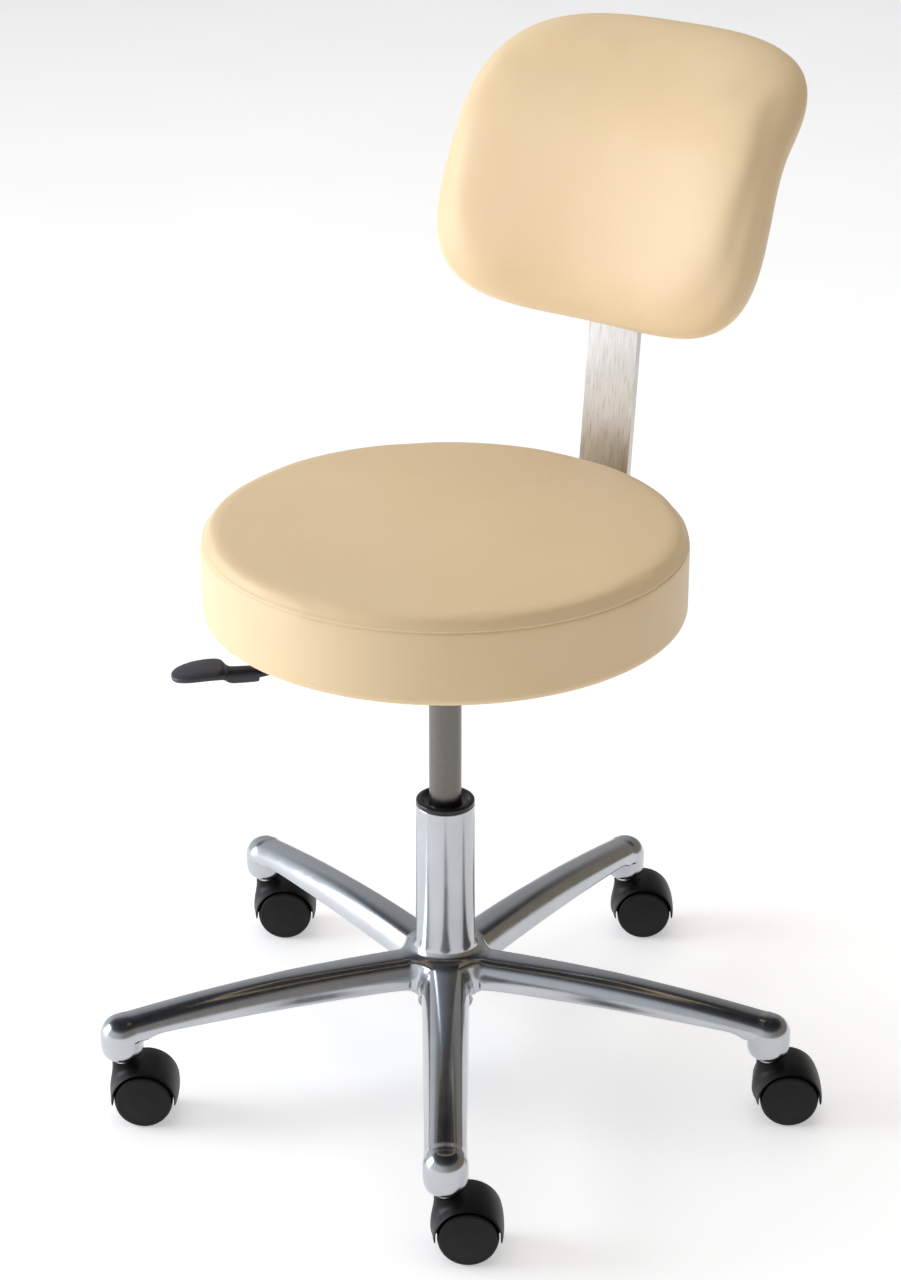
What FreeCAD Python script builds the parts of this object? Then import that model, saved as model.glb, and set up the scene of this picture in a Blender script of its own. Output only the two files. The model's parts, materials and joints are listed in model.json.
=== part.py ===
"""A dentist stool: round seat, backrest on a flat steel bar, gas lift, five-leg cast base on casters.

Row frame: origin on the floor under the column, +Z up, the seat faces -Y. Millimetres.
Driving sizes are in SIZES, which fills the spreadsheet that every feature reads.
"""
import FreeCAD, Part
import math
import os
import re
import Sketcher

Vec = FreeCAD.Vector
X_AXIS = Vec(1, 0, 0)
Y_AXIS = Vec(0, 1, 0)
UP = Vec(0, 0, 1)

LEG_COUNT = 5
PARALLEL = 0.99

SIZES = {
    # seat cushion
    "seat_radius": 203.2, "seat_bottom": 441.8, "seat_top": 516.6, "seat_top_round": 12.0,
    "seat_bottom_round": 6.0, "vinyl": 1.2, "hem_width": 20.0, "board_radius": 196.0,
    "seat_board_thick": 12.0, "staple_ring": 191.0, "staple_long": 10.0, "staple_wide": 1.2,
    "staple_thick": 0.6, "staple_count": 30, "staple_slant": 60.0,
    # seat plate, bolts
    "plate_side": 140.0, "plate_thick": 4.0, "plate_bolt": 56.0, "bolt_radius": 3.0,
    "bolt_clear": 0.2, "bolt_head_radius": 5.5, "bolt_head_thick": 3.6, "bolt_grip": 9.0, "nut_barrel": 4.0,
    "nut_flange": 9.0, "nut_flange_thick": 1.2,
    # gas lift
    "cylinder_radius": 14.0, "cylinder_bore": 12.0, "cylinder_bottom": 166.0, "cylinder_top": 402.0,
    "cylinder_shoulder": 362.0, "cylinder_tip_radius": 13.2, "cylinder_cap": 10.0,
    "guide_thick": 12.0, "piston_rod_radius": 5.0, "piston_rod_bottom": 57.8, "piston_bottom": 216.0,
    "piston_thick": 14.0, "running_gap": 0.05, "valve_radius": 3.0, "valve_bottom": 391.0,
    "valve_top": 414.0, "bumper_radius": 13.0, "bumper_thick": 9.0, "washer_radius": 16.0,
    "washer_thick": 2.0, "washer_clear": 0.1, "bearing_thick": 3.0, "bearing_radius": 15.0,
    "bearing_clear": 0.6, "clip_radius": 9.0,
    "clip_thick": 1.5, "clip_top": 61.5,
    # socket and lever bracket
    "socket_radius": 20.0, "bracket_bottom": 399.0, "bracket_wall": 3.0, "bracket_half": 20.0,
    "bracket_back": 30.0, "bracket_front": 48.0, "pivot_reach": 36.0, "pivot_height": 412.4,
    "pivot_radius": 2.0, "pivot_head_radius": 3.4, "pivot_head_thick": 1.6,
    # lever, whose direction is lever_turn degrees from +X
    "lever_turn": 225.0, "lever_rod_radius": 4.0, "lever_slope": 10.2, "lever_inner_reach": 10.0,
    "lever_outer_reach": 166.0, "paddle_wrist": 158.0, "paddle_tip": 231.0, "paddle_half": 18.0,
    "paddle_thick": 8.4, "paddle_height": 396.8, "paddle_shoulder": 6.0, "paddle_nose": 12.0,
    "paddle_nose_half": 8.5, "wrist_long": 26.0, "wrist_half": 8.0, "wrist_thick": 12.0,
    "wrist_bottom": 384.2,
    # base casting
    "column_radius": 25.75, "column_bore": 19.0, "column_top": 258.5, "hub_radius": 37.5,
    "hub_top": 112.0, "hub_edge": 4.0, "hub_fillet": 2.5, "hub_fillet_top": 124.0, "hub_skirt": 57.0,
    "hub_skirt_radius": 22.3, "hub_cone_low": 84.0, "hub_cone_high": 92.0,
    "hub_floor_bottom": 62.0, "hub_floor_top": 68.0, "clip_recess": 15.0, "floor_hole": 5.2,
    "stem_circle": 292.0, "boss_radius": 18.5, "boss_bottom": 56.5, "boss_foot_round": 6.0,
    "boss_top": 96.5, "boss_round": 14.8, "leg_crown_half": 9.5, "leg_lip": 6.0, "leg_wall": 4.0,
    "leg_hollow_start": 64.0, "leg_hollow_end": 266.0,
    # column bushing
    "bushing_flange": 24.75, "bushing_top": 260.0, "bushing_bottom": 205.0,
    # casters
    "caster_trail": 18.0, "wheel_radius": 25.0, "wheel_inner": 8.0, "wheel_outer": 24.2,
    "wheel_edge_round": 3.0, "wheel_dish": 1.4, "wheel_hub_radius": 9.0, "axle_radius": 3.0,
    "axle_half": 22.0, "axle_clear": 0.4, "hood_inner": 26.4, "hood_rim": 27.8, "hood_crown": 29.0,
    "hood_half": 24.6, "hood_flat": 5.4, "hood_shoulder": 15.2, "hood_tip": 21.0, "web_half": 7.4,
    "web_radius": 19.0, "neck_radius": 9.6, "neck_top": 54.5, "neck_clear": 0.2, "stem_chamfer": 2.0,
    "stem_radius": 5.5, "stem_bottom": 34.0, "stem_top": 86.0, "stem_flange": 8.5,
    "ring_low": 76.0, "ring_high": 80.0, "ring_seat": 4.6, "stem_gap": 0.06,
    # back bar
    "bar_width": 50.8, "bar_thick": 6.0, "bar_leg_start": 97.0, "bar_height": 436.7,
    "bar_corner": 236.4, "bar_lean": 5.4, "bar_upper_corner": 628.0, "bar_upper_lean": 20.0,
    "bar_top": 742.0, "bar_bend": 20.0, "bar_upper_bend": 40.0,
    # channels that hold the bar
    "channel_wall": 3.0, "channel_gap": 0.3, "channel_flange": 46.0, "channel_bolt": 37.0,
    "seat_channel_start": 76.0, "seat_channel_long": 96.0, "seat_channel_bolt": 36.0,
    "back_channel_long": 66.0, "back_channel_bolt": 22.0, "back_standoff": 14.4,
    "back_channel_along": 75.0, "weld_nut_radius": 9.0, "weld_nut_thick": 6.5,
    # hand knobs
    "knob_radius": 17.0, "knob_collar": 10.5, "knob_face": 13.6, "knob_rim": 3.0, "knob_thick": 16.0,
    "knob_flutes": 6, "knob_flute_radius": 5.0, "knob_flute_out": 2.4, "knob_clear": 4.0,
    "stud_radius": 4.0, "stud_clear": 0.1,
    # backrest pad
    "wrap_radius": 492.0, "pad_y": 207.0, "pad_z": 631.0, "pad_rise_y": 49.0, "pad_lower_lean": 20.0,
    "pad_upper_lean": 46.0, "pad_lower_long": 167.0, "pad_upper_long": 118.0, "pad_thick": 56.0,
    "pad_bend": 90.0, "pad_end_round": 24.0, "pad_bottom_half": 165.0, "pad_top_half": 172.0,
    "pad_corner": 70.0, "pad_prism_bottom": 619.0, "pad_prism_top": 892.0, "pad_sweep": 60.0,
    "pad_face_gap": 0.3, "back_board_thick": 10.0, "back_board_margin": 34.0, "back_board_long": 142.0,
    "back_board_sweep": 25.0, "back_nut_short": 3.4,
    # how far a cutting tool runs past the surface that it cuts
    "over": 1.0,
}

# Each station of a leg, from the hub out: reach from the column, half width, top and underside.
LEG_STATIONS = [(16, 22.5, 112, 84), (44, 22.3, 113, 87), (72, 22.1, 113.5, 88), (130, 21.6, 111.5, 88),
                (200, 20.6, 106, 85.5), (258, 19.6, 99, 82), (292, 18.6, 96, 79)]
for station, (reach, half, top, under) in enumerate(LEG_STATIONS):
    SIZES["leg%d_reach" % station] = reach
    SIZES["leg%d_half" % station] = half
    SIZES["leg%d_top" % station] = top
    SIZES["leg%d_under" % station] = under

DOC = FreeCAD.newDocument("dentist_stool")
SHEET = DOC.addObject("Spreadsheet::Sheet", "dims")
NODES = []


def fill_sheet():
    for row, (name, size) in enumerate(SIZES.items(), start=1):
        SHEET.set("A%d" % row, name)
        SHEET.set("B%d" % row, str(size))
        SHEET.setAlias("B%d" % row, name)
    DOC.recompute()


# ---------------------------------------------------------------- expressions and small helpers

def formula(text):
    """The text as an expression whose size names are read from the sheet."""
    def from_sheet(word):
        return "dims." + word[0] if word[0] in SIZES else word[0]
    return re.sub(r"[a-z][a-z_0-9]*", from_sheet, str(text))


def size(text):
    return float(SHEET.evalExpression(formula(text)))


def bind(feature, prop, text):
    feature.setExpression(prop, formula(text))


def place(feature, x="0", y="0", z="0", turn=None):
    """Put a feature at a point given by formulas, with an optional rotation."""
    if turn is not None:
        feature.Placement = FreeCAD.Placement(Vec(0, 0, 0), turn)
    bind(feature, "Placement.Base.x", x)
    bind(feature, "Placement.Base.y", y)
    bind(feature, "Placement.Base.z", z)
    return feature


def about(axis, degrees):
    return FreeCAD.Rotation(axis, degrees)


def node(feature, label):
    """Give a finished piece its name and list it for export."""
    feature.Label = label
    NODES.append(feature)
    return feature


def origin_plane(body, role):
    return [plane for plane in body.Origin.OriginFeatures if plane.Role == role][0]


def outline_sketch(body, name, corners, role="XZ_Plane", offset=None):
    """A closed outline of straight sides; each corner is a pair of formulas."""
    sketch = body.newObject("Sketcher::SketchObject", name)
    sketch.AttachmentSupport = (origin_plane(body, role), [""])
    sketch.MapMode = "FlatFace"
    if offset is not None:
        bind(sketch, "AttachmentOffset.Base.z", offset)
    points = [Vec(size(across), size(up), 0) for across, up in corners]
    count = len(points)
    for i in range(count):
        sketch.addGeometry(Part.LineSegment(points[i], points[(i + 1) % count]), False)
    for i in range(count):
        sketch.addConstraint(Sketcher.Constraint("Coincident", i, 2, (i + 1) % count, 1))
    for i, (across, up) in enumerate(corners):
        hold(sketch, i, "DistanceX", points[i].x, across, -2)
        hold(sketch, i, "DistanceY", points[i].y, up, -1)
    return sketch


def hold(sketch, line, kind, amount, text, axis):
    """Fix one coordinate of a line's first point, on the axis itself when it is zero."""
    if abs(amount) < 1e-9:
        sketch.addConstraint(Sketcher.Constraint("PointOnObject", line, 1, axis))
        return
    index = sketch.addConstraint(Sketcher.Constraint(kind, -1, 1, line, 1, amount))
    sketch.setExpression("Constraints[%d]" % index, formula(text))


def turned(name, corners, x="0", y="0", z="0", turn=None):
    """A turned piece: its outline of (radius, height) corners revolved about its own Z."""
    body = DOC.addObject("PartDesign::Body", name)
    sketch = outline_sketch(body, name + "_outline", corners)
    revolved = body.newObject("PartDesign::Revolution", name + "_turned")
    revolved.Profile = sketch
    revolved.ReferenceAxis = (sketch, ["V_Axis"])
    revolved.Angle = 360
    body.Tip = revolved
    return place(body, x, y, z, turn)


def extruded(name, corners, depth, role="XZ_Plane", x="0", y="0", z="0", turn=None):
    """A plate or bar: its outline padded to both sides of the sketch plane."""
    body = DOC.addObject("PartDesign::Body", name)
    sketch = outline_sketch(body, name + "_outline", corners, role)
    pad = body.newObject("PartDesign::Pad", name + "_pad")
    pad.Profile = sketch
    pad.Midplane = True
    bind(pad, "Length", depth)
    body.Tip = pad
    return place(body, x, y, z, turn)


def round_edges(body, radius, wanted):
    """Fillet the edges of a body that the test picks."""
    DOC.recompute()
    base = body.Tip
    names = ["Edge%d" % (i + 1) for i, edge in enumerate(base.Shape.Edges) if wanted(edge)]
    fillet = body.newObject("PartDesign::Fillet", body.Name + "_round")
    fillet.Base = (base, names)
    bind(fillet, "Radius", radius)
    body.Tip = fillet
    return body


def circle_at(radius, height):
    """Picks the full circles of a turned piece at one height."""
    def wanted(edge):
        curve = edge.Curve
        if not isinstance(curve, Part.Circle):
            return False
        return abs(curve.Radius - size(radius)) < 0.01 and abs(curve.Center.z - size(height)) < 0.01
    return wanted


def ring_corners(inner, outer, low, high):
    return [(inner, low), (outer, low), (outer, high), (inner, high)]


def cylinder(name, radius, length, x="0", y="0", z="0", turn=None):
    piece = DOC.addObject("Part::Cylinder", name)
    bind(piece, "Radius", radius)
    bind(piece, "Height", length)
    return place(piece, x, y, z, turn)


def block(name, long, wide, high, x="0", y="0", z="0", turn=None):
    """A box whose base is centred on its own origin."""
    half_long = "(%s) / 2" % long
    half_wide = "(%s) / 2" % wide
    corners = [("-" + half_long, "-" + half_wide), (half_long, "-" + half_wide),
               (half_long, half_wide), ("-" + half_long, half_wide)]
    body = DOC.addObject("PartDesign::Body", name)
    sketch = outline_sketch(body, name + "_outline", corners, "XY_Plane")
    pad = body.newObject("PartDesign::Pad", name + "_pad")
    pad.Profile = sketch
    bind(pad, "Length", high)
    body.Tip = pad
    return place(body, x, y, z, turn)


def joined(name, pieces):
    union = DOC.addObject("Part::MultiFuse", name)
    union.Shapes = pieces
    return union


def cut(name, base, tools):
    tool = tools[0] if len(tools) == 1 else joined(name + "_tools", tools)
    result = DOC.addObject("Part::Cut", name)
    result.Base = base
    result.Tool = tool
    return result


def group(name, pieces):
    """Several separate solids that share one node."""
    compound = DOC.addObject("Part::Compound", name)
    compound.Links = pieces
    return compound


def in_frame(feature, name, x="0", y="0", z="0", turn=None):
    """A piece built in its own frame, placed in the row frame."""
    spot = DOC.addObject("Part::Compound", name)
    spot.Links = [feature]
    return place(spot, x, y, z, turn)


# ---------------------------------------------------------------- base

def leg_azimuth(k):
    """Direction of leg k, in degrees from +X."""
    return 36.0 + 360.0 / LEG_COUNT * k - 90.0


def stem_place(k):
    angle = leg_azimuth(k)
    return {"x": "stem_circle * cos(%g)" % angle, "y": "stem_circle * sin(%g)" % angle}


def leg_section(body, name, station):
    """One station of a leg, looking along it: flat crown, sloping flanks, short upright lip."""
    half = station + "half"
    top = station + "top"
    under = station + "under"
    shoulder = under + " + leg_lip"
    corners = [("-" + half, under), (half, under), (half, shoulder), ("leg_crown_half", top),
               ("-leg_crown_half", top), ("-" + half, shoulder)]
    return outline_sketch(body, name, corners, "YZ_Plane", station + "reach")


def leg(k):
    body = DOC.addObject("PartDesign::Body", "leg_%d" % k)
    sections = []
    for i in range(len(LEG_STATIONS)):
        sections.append(leg_section(body, "leg_%d_section_%d" % (k, i), "leg%d_" % i))
    loft = body.newObject("PartDesign::AdditiveLoft", "leg_%d_loft" % k)
    loft.Profile = sections[0]
    loft.Sections = sections[1:]
    loft.Ruled = True
    body.Tip = loft
    return place(body, turn=about(UP, leg_azimuth(k)))


def leg_hollow(k):
    """The open channel in a leg's underside, which leaves an inverted U."""
    body = DOC.addObject("PartDesign::Body", "leg_hollow_%d" % k)
    ends = [("leg_hollow_start", 2), ("leg_hollow_end", 5)]
    sections = []
    for i, (reach, near) in enumerate(ends):
        half = "leg%d_half - leg_wall" % near
        top = "leg%d_top - 2 * leg_wall" % near
        low = "leg%d_under - 2 * leg_lip" % near
        shoulder = "leg%d_under + leg_lip" % near
        crown = "(leg_crown_half - leg_wall / 2)"
        corners = [("-(%s)" % half, low), (half, low), (half, shoulder), (crown, top), ("-" + crown, top),
                   ("-(%s)" % half, shoulder)]
        sections.append(outline_sketch(body, "leg_hollow_%d_section_%d" % (k, i), corners, "YZ_Plane", reach))
    loft = body.newObject("PartDesign::AdditiveLoft", "leg_hollow_%d_loft" % k)
    loft.Profile = sections[0]
    loft.Sections = sections[1:]
    body.Tip = loft
    return place(body, turn=about(UP, leg_azimuth(k)))


def caster_boss(k):
    """The rounded nose that ends a leg and holds a caster stem."""
    corners = ring_corners("0", "boss_radius", "boss_bottom", "boss_top")
    boss = turned("boss_%d" % k, corners, **stem_place(k))
    round_edges(boss, "boss_round", circle_at("boss_radius", "boss_top"))
    return round_edges(boss, "boss_foot_round", circle_at("boss_radius", "boss_bottom"))


def build_base():
    hub = turned("hub", [("0", "hub_skirt"), ("hub_skirt_radius", "hub_skirt"),
                         ("hub_skirt_radius", "hub_cone_low"), ("hub_radius", "hub_cone_high"),
                         ("hub_radius", "hub_top - hub_edge"), ("hub_radius - hub_edge", "hub_top"),
                         ("column_radius + hub_fillet", "hub_top + hub_edge"),
                         ("column_radius", "hub_fillet_top"), ("column_radius", "column_top"),
                         ("0", "column_top")])
    solids = [hub]
    for k in range(LEG_COUNT):
        solids.append(leg(k))
        solids.append(caster_boss(k))
    bores = [cylinder("column_bore_cut", "column_bore", "column_top", z="hub_floor_top"),
             cylinder("floor_hole_cut", "floor_hole", "hub_floor_top", z="hub_skirt"),
             cylinder("clip_recess_cut", "clip_recess", "hub_floor_bottom - hub_skirt + over",
                     z="hub_skirt - over")]
    for k in range(LEG_COUNT):
        bores.append(leg_hollow(k))
        depth = "stem_top - boss_bottom + 2 * over"
        bores.append(cylinder("stem_bore_%d" % k, "stem_radius + stem_gap", depth, z="boss_bottom - over",
                              **stem_place(k)))
    node(cut("base_casting", joined("base_solid", solids), bores), "base_casting")

    bushing = turned("column_bushing", [("cylinder_radius + running_gap", "bushing_bottom"),
                                        ("column_bore", "bushing_bottom"), ("column_bore", "column_top"),
                                        ("bushing_flange", "column_top"), ("bushing_flange", "bushing_top"),
                                        ("cylinder_radius + running_gap", "bushing_top")])
    node(bushing, "column_bushing")
    washer = ring_corners("floor_hole + washer_clear", "washer_radius", "0", "washer_thick")
    node(turned("lower_bearing_washer", washer, z="hub_floor_top"), "lower_bearing_washer")
    bearing = ring_corners("floor_hole + bearing_clear", "bearing_radius", "0", "bearing_thick")
    node(turned("thrust_bearing", bearing, z="hub_floor_top + washer_thick"), "thrust_bearing")


def build_stems():
    stems = []
    rings = []
    collar = "neck_top + neck_clear"
    outline = [("0", "stem_bottom"), ("stem_radius", "stem_bottom"), ("stem_radius", collar),
               ("stem_flange", collar), ("stem_flange", "boss_bottom"), ("stem_radius", "boss_bottom"),
               ("stem_radius", "ring_low"), ("ring_seat", "ring_low"), ("ring_seat", "ring_high"),
               ("stem_radius", "ring_high"), ("stem_radius", "stem_top - stem_chamfer"),
               ("stem_radius - stem_chamfer", "stem_top"), ("0", "stem_top")]
    ring = ring_corners("ring_seat", "stem_radius + stem_gap", "ring_low", "ring_high")
    for k in range(LEG_COUNT):
        stems.append(turned("stem_%d" % k, outline, **stem_place(k)))
        rings.append(turned("grip_ring_%d" % k, ring, **stem_place(k)))
    node(group("caster_stems", stems), "caster_stems")
    node(group("caster_grip_rings", rings), "caster_grip_rings")


# ---------------------------------------------------------------- casters

TRAIL_TURN = 36.0


def at_caster(feature, k):
    """A piece built about the origin, placed on stem k and turned to trail."""
    return in_frame(feature, feature.Name + "_placed", turn=about(UP, TRAIL_TURN), **stem_place(k))


def across(name, corners, side=1):
    """A piece turned about the axle: heights in the outline run out along the axle."""
    return turned(name, corners, x="caster_trail", z="wheel_radius", turn=about(X_AXIS, -90 * side))


def hood(k):
    slope = "(hood_rim + 2 * hood_crown) / 3"
    barrel = across("hood_barrel_%d" % k, [("0", "-hood_half"), ("hood_rim", "-hood_half"),
                                          (slope, "-hood_shoulder"), ("hood_crown", "-hood_flat"),
                                          ("hood_crown", "hood_flat"), (slope, "hood_shoulder"),
                                          ("hood_rim", "hood_half"), ("0", "hood_half")])
    below = block("hood_below_%d" % k, "3 * hood_crown", "3 * hood_half", "hood_tip + wheel_radius",
                  x="caster_trail", z="-wheel_radius")
    neck = cylinder("neck_%d" % k, "neck_radius", "neck_top - wheel_radius", z="wheel_radius")
    web = across("web_%d" % k, ring_corners("0", "web_radius", "-web_half", "web_half"))
    shell = joined("hood_shell_%d" % k, [cut("hood_upper_%d" % k, barrel, [below]), neck, web])
    tools = [across("axle_bore_%d" % k, ring_corners("0", "axle_radius", "-hood_half", "hood_half")),
             cylinder("stem_socket_%d" % k, "stem_radius + stem_gap", "neck_top",
                      z="stem_bottom - neck_clear")]
    for side, name in ((-1, "right"), (1, "left")):
        room = ring_corners("0", "hood_inner", "web_half", "hood_half + over")
        tools.append(across("wheel_room_%s_%d" % (name, k), room, side))
    return cut("hood_%d" % k, shell, tools)


def wheel(k, side, name):
    """One wheel of a caster, bored for the axle from its inner face and closed by its domed outer face."""
    bore = "axle_radius + running_gap"
    bore_end = "axle_half + axle_clear"
    piece = across("%s_turned_%d" % (name, k), [(bore, "wheel_inner"), ("wheel_radius", "wheel_inner"),
                                                ("wheel_radius", "wheel_outer"),
                                                ("wheel_hub_radius", "wheel_outer + wheel_dish"),
                                                ("0", "wheel_outer + wheel_dish"), ("0", bore_end),
                                                (bore, bore_end)], side)
    return round_edges(piece, "wheel_edge_round", circle_at("wheel_radius", "wheel_outer"))


def build_casters():
    for k in range(LEG_COUNT):
        number = k + 1
        node(at_caster(hood(k), k), "caster_hood_%d" % number)
        axle = across("axle_turned_%d" % k, ring_corners("0", "axle_radius", "-axle_half", "axle_half"))
        node(at_caster(axle, k), "caster_axle_%d" % number)
        for side, name in ((1, "wheel_left"), (-1, "wheel_right")):
            node(at_caster(wheel(k, side, name), k), "%s_%d" % (name, number))


# ---------------------------------------------------------------- gas lift

def on_rod(name, outer, low, high, z, inner="piston_rod_radius"):
    """A ring round the piston rod."""
    node(turned(name, ring_corners(inner, outer, low, high), z=z), name)


def build_lift():
    washer = "hub_floor_top + washer_thick + bearing_thick"
    on_rod("upper_bearing_washer", "washer_radius", "0", "washer_thick", washer)
    on_rod("rubber_bumper", "bumper_radius", "0", "bumper_thick", washer + " + washer_thick")
    node(cylinder("piston_rod", "piston_rod_radius", "piston_bottom + piston_thick - piston_rod_bottom",
                  z="piston_rod_bottom"), "piston_rod")
    on_rod("piston", "cylinder_bore - running_gap", "0", "piston_thick", "piston_bottom")
    on_rod("retaining_clip", "clip_radius", "-clip_thick", "0", "clip_top")
    valve_bore = "valve_radius + running_gap"
    cap = "cylinder_top - cylinder_cap"
    tube = turned("gas_cylinder", [("cylinder_bore", "cylinder_bottom"),
                                   ("cylinder_radius", "cylinder_bottom"),
                                   ("cylinder_radius", "cylinder_shoulder"),
                                   ("cylinder_tip_radius", "cylinder_top"), (valve_bore, "cylinder_top"),
                                   (valve_bore, cap), ("cylinder_bore", cap)])
    node(tube, "gas_cylinder")
    on_rod("cylinder_end_guide", "cylinder_bore", "0", "guide_thick", "cylinder_bottom",
           "piston_rod_radius + running_gap")
    node(cylinder("valve_pin", "valve_radius", "valve_top - valve_bottom", z="valve_bottom"), "valve_pin")


# ---------------------------------------------------------------- seat mechanism

def by_lever(reach, aside="0"):
    """Place of a point a distance out along the lever and a distance to its left."""
    return {"x": "(%s) * cos(lever_turn) - (%s) * sin(lever_turn)" % (reach, aside),
            "y": "(%s) * sin(lever_turn) + (%s) * cos(lever_turn)" % (reach, aside)}


def lever_way():
    return about(UP, size("lever_turn"))


def pivot_cylinder(name, radius, half):
    """A cylinder along the lever's pivot axis, to both sides of the lever."""
    return cylinder(name, radius, "2 * (%s)" % half, z="pivot_height", turn=lever_way() * about(X_AXIS, -90),
                    **by_lever("pivot_reach", "-(%s)" % half))


def build_mechanism():
    taper = "(cylinder_radius - cylinder_tip_radius) / (cylinder_top - cylinder_shoulder)"
    socket_bore = "cylinder_radius - %s * (bracket_bottom - cylinder_shoulder)" % taper
    socket = turned("cone_socket", [("cylinder_radius", "cylinder_shoulder"),
                                    ("socket_radius", "cylinder_shoulder"),
                                    ("socket_radius", "bracket_bottom"),
                                    (socket_bore, "bracket_bottom")])
    node(socket, "cone_socket")

    length = "bracket_front + bracket_back"
    middle = by_lever("(bracket_front - bracket_back) / 2")
    height = "seat_bottom + vinyl - plate_thick - bracket_bottom"
    outer = block("bracket_outer", length, "2 * bracket_half", height, z="bracket_bottom", turn=lever_way(),
                  **middle)
    inner = block("bracket_inner", length + " + 2 * over", "2 * (bracket_half - bracket_wall)", height,
                  z="bracket_bottom + bracket_wall", turn=lever_way(), **middle)
    hole = cylinder("bracket_hole", "cylinder_radius", "3 * bracket_wall", z="bracket_bottom - bracket_wall")
    pin_hole = pivot_cylinder("bracket_pin_hole", "pivot_radius", "bracket_half + over")
    node(cut("lever_bracket", outer, [inner, hole, pin_hole]), "lever_bracket")

    shank = pivot_cylinder("pivot_shank", "pivot_radius", "bracket_half + pivot_head_thick / 2")
    heads = []
    for side, name in ((-1, "right"), (1, "left")):
        spot = by_lever("pivot_reach", "%d * bracket_half" % side)
        heads.append(cylinder("pivot_head_" + name, "pivot_head_radius", "pivot_head_thick", z="pivot_height",
                              turn=lever_way() * about(X_AXIS, -90 * side), **spot))
    node(joined("lever_pivot_pin", [shank] + heads), "lever_pivot_pin")


def lever_shaft(name):
    """The sloping rod, from its inner end over the valve pin to its outer end inside the paddle."""
    inner = "(lever_inner_reach + pivot_reach)"
    long = "(lever_inner_reach + lever_outer_reach) / cos(lever_slope)"
    way = lever_way() * about(Y_AXIS, 90 + size("lever_slope"))
    height = "pivot_height + %s * tan(lever_slope)" % inner
    return cylinder(name, "lever_rod_radius", long, z=height, turn=way, **by_lever("-lever_inner_reach"))


def build_lever():
    pin_hole = pivot_cylinder("lever_pin_hole", "pivot_radius + running_gap", "2 * lever_rod_radius")
    node(cut("lever_rod", lever_shaft("lever_shaft"), [pin_hole]), "lever_rod")

    half_outline = [("paddle_wrist", "wrist_half"), ("paddle_wrist + wrist_long", "wrist_half"),
                    ("paddle_wrist + wrist_long + paddle_shoulder", "paddle_half"),
                    ("paddle_tip - paddle_nose", "paddle_half"), ("paddle_tip", "paddle_nose_half")]
    other_half = [(reach, "-" + half) for reach, half in reversed(half_outline)]
    blade = extruded("paddle_blade", half_outline + other_half, "paddle_thick", "XY_Plane", z="paddle_height",
                     turn=lever_way())
    wrist = block("paddle_wrist_block", "wrist_long", "2 * wrist_half", "wrist_thick", z="wrist_bottom",
                  turn=lever_way(), **by_lever("paddle_wrist + wrist_long / 2"))
    solid = joined("paddle_solid", [blade, wrist])
    node(cut("lever_paddle", solid, [lever_shaft("paddle_socket")]), "lever_paddle")


# ---------------------------------------------------------------- seat cushion

BOARD_TOP = "seat_bottom + vinyl + seat_board_thick"


def cushion_form(name, inset):
    """The seat's outer form, or the same form inset by one thickness of vinyl."""
    radius = "(seat_radius - %s)" % inset
    low = "(seat_bottom + %s)" % inset
    high = "(seat_top - %s)" % inset
    form = turned(name, [("0", low), (radius, low), (radius, high), ("0", high)])
    round_edges(form, "seat_top_round - %s" % inset, circle_at(radius, high))
    return round_edges(form, "seat_bottom_round - %s" % inset, circle_at(radius, low))


def bolt_spots():
    """Centres of the eight bolts that enter the seat board: four of the plate, four of the channel."""
    spots = []
    middle = "(seat_channel_start + seat_channel_long / 2)"
    for sx in ("-", ""):
        for sy in ("-", ""):
            spots.append((sx + "plate_bolt", sy + "plate_bolt", "plate"))
            spots.append((sx + "channel_bolt", "%s %s seat_channel_bolt" % (middle, sy or "+"), "channel"))
    return spots


def build_seat():
    opening = cylinder("hem_opening", "seat_radius - hem_width", "3 * vinyl", z="seat_bottom - vinyl")
    node(cut("seat_cover", cushion_form("cover_outer", "0"), [cushion_form("cover_inner", "vinyl"), opening]),
         "seat_cover")
    space = cylinder("board_space", "board_radius", "seat_board_thick + over", z="seat_bottom + vinyl - over")
    node(cut("seat_foam", cushion_form("foam_form", "vinyl"), [space]), "seat_foam")

    holes = []
    nuts = []
    for i, (x, y, _) in enumerate(bolt_spots()):
        spot = {"x": x, "y": y}
        holes.append(cylinder("board_hole_%d" % i, "nut_barrel", "seat_board_thick + 2 * over",
                              z="seat_bottom + vinyl - over", **spot))
        holes.append(cylinder("board_sink_%d" % i, "nut_flange", "nut_flange_thick + over",
                              z=BOARD_TOP + " - nut_flange_thick", **spot))
        flange_low = "seat_board_thick - nut_flange_thick"
        outline = [("bolt_radius", "0"), ("nut_barrel", "0"), ("nut_barrel", flange_low),
                   ("nut_flange", flange_low), ("nut_flange", "seat_board_thick"),
                   ("bolt_radius", "seat_board_thick")]
        nuts.append(turned("t_nut_%d" % i, outline, z="seat_bottom + vinyl", **spot))
    disc = cylinder("board_disc", "board_radius", "seat_board_thick", z="seat_bottom + vinyl")
    node(cut("seat_board", disc, holes), "seat_board")
    node(group("seat_t_nuts", nuts), "seat_t_nuts")
    build_staples()
    build_plate()


def build_staples():
    """Staples that hold the vinyl's turned-under hem to the board, evenly round the rim."""
    count = int(size("staple_count"))
    staples = []
    for i in range(count):
        angle = 360.0 / count * (i + 0.5)
        staples.append(block("staple_%d" % i, "staple_wide", "staple_long", "staple_thick",
                             x="staple_ring * cos(%g)" % angle, y="staple_ring * sin(%g)" % angle,
                             z="seat_bottom - staple_thick", turn=about(UP, angle + size("staple_slant"))))
    node(group("seat_staples", staples), "seat_staples")


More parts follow.
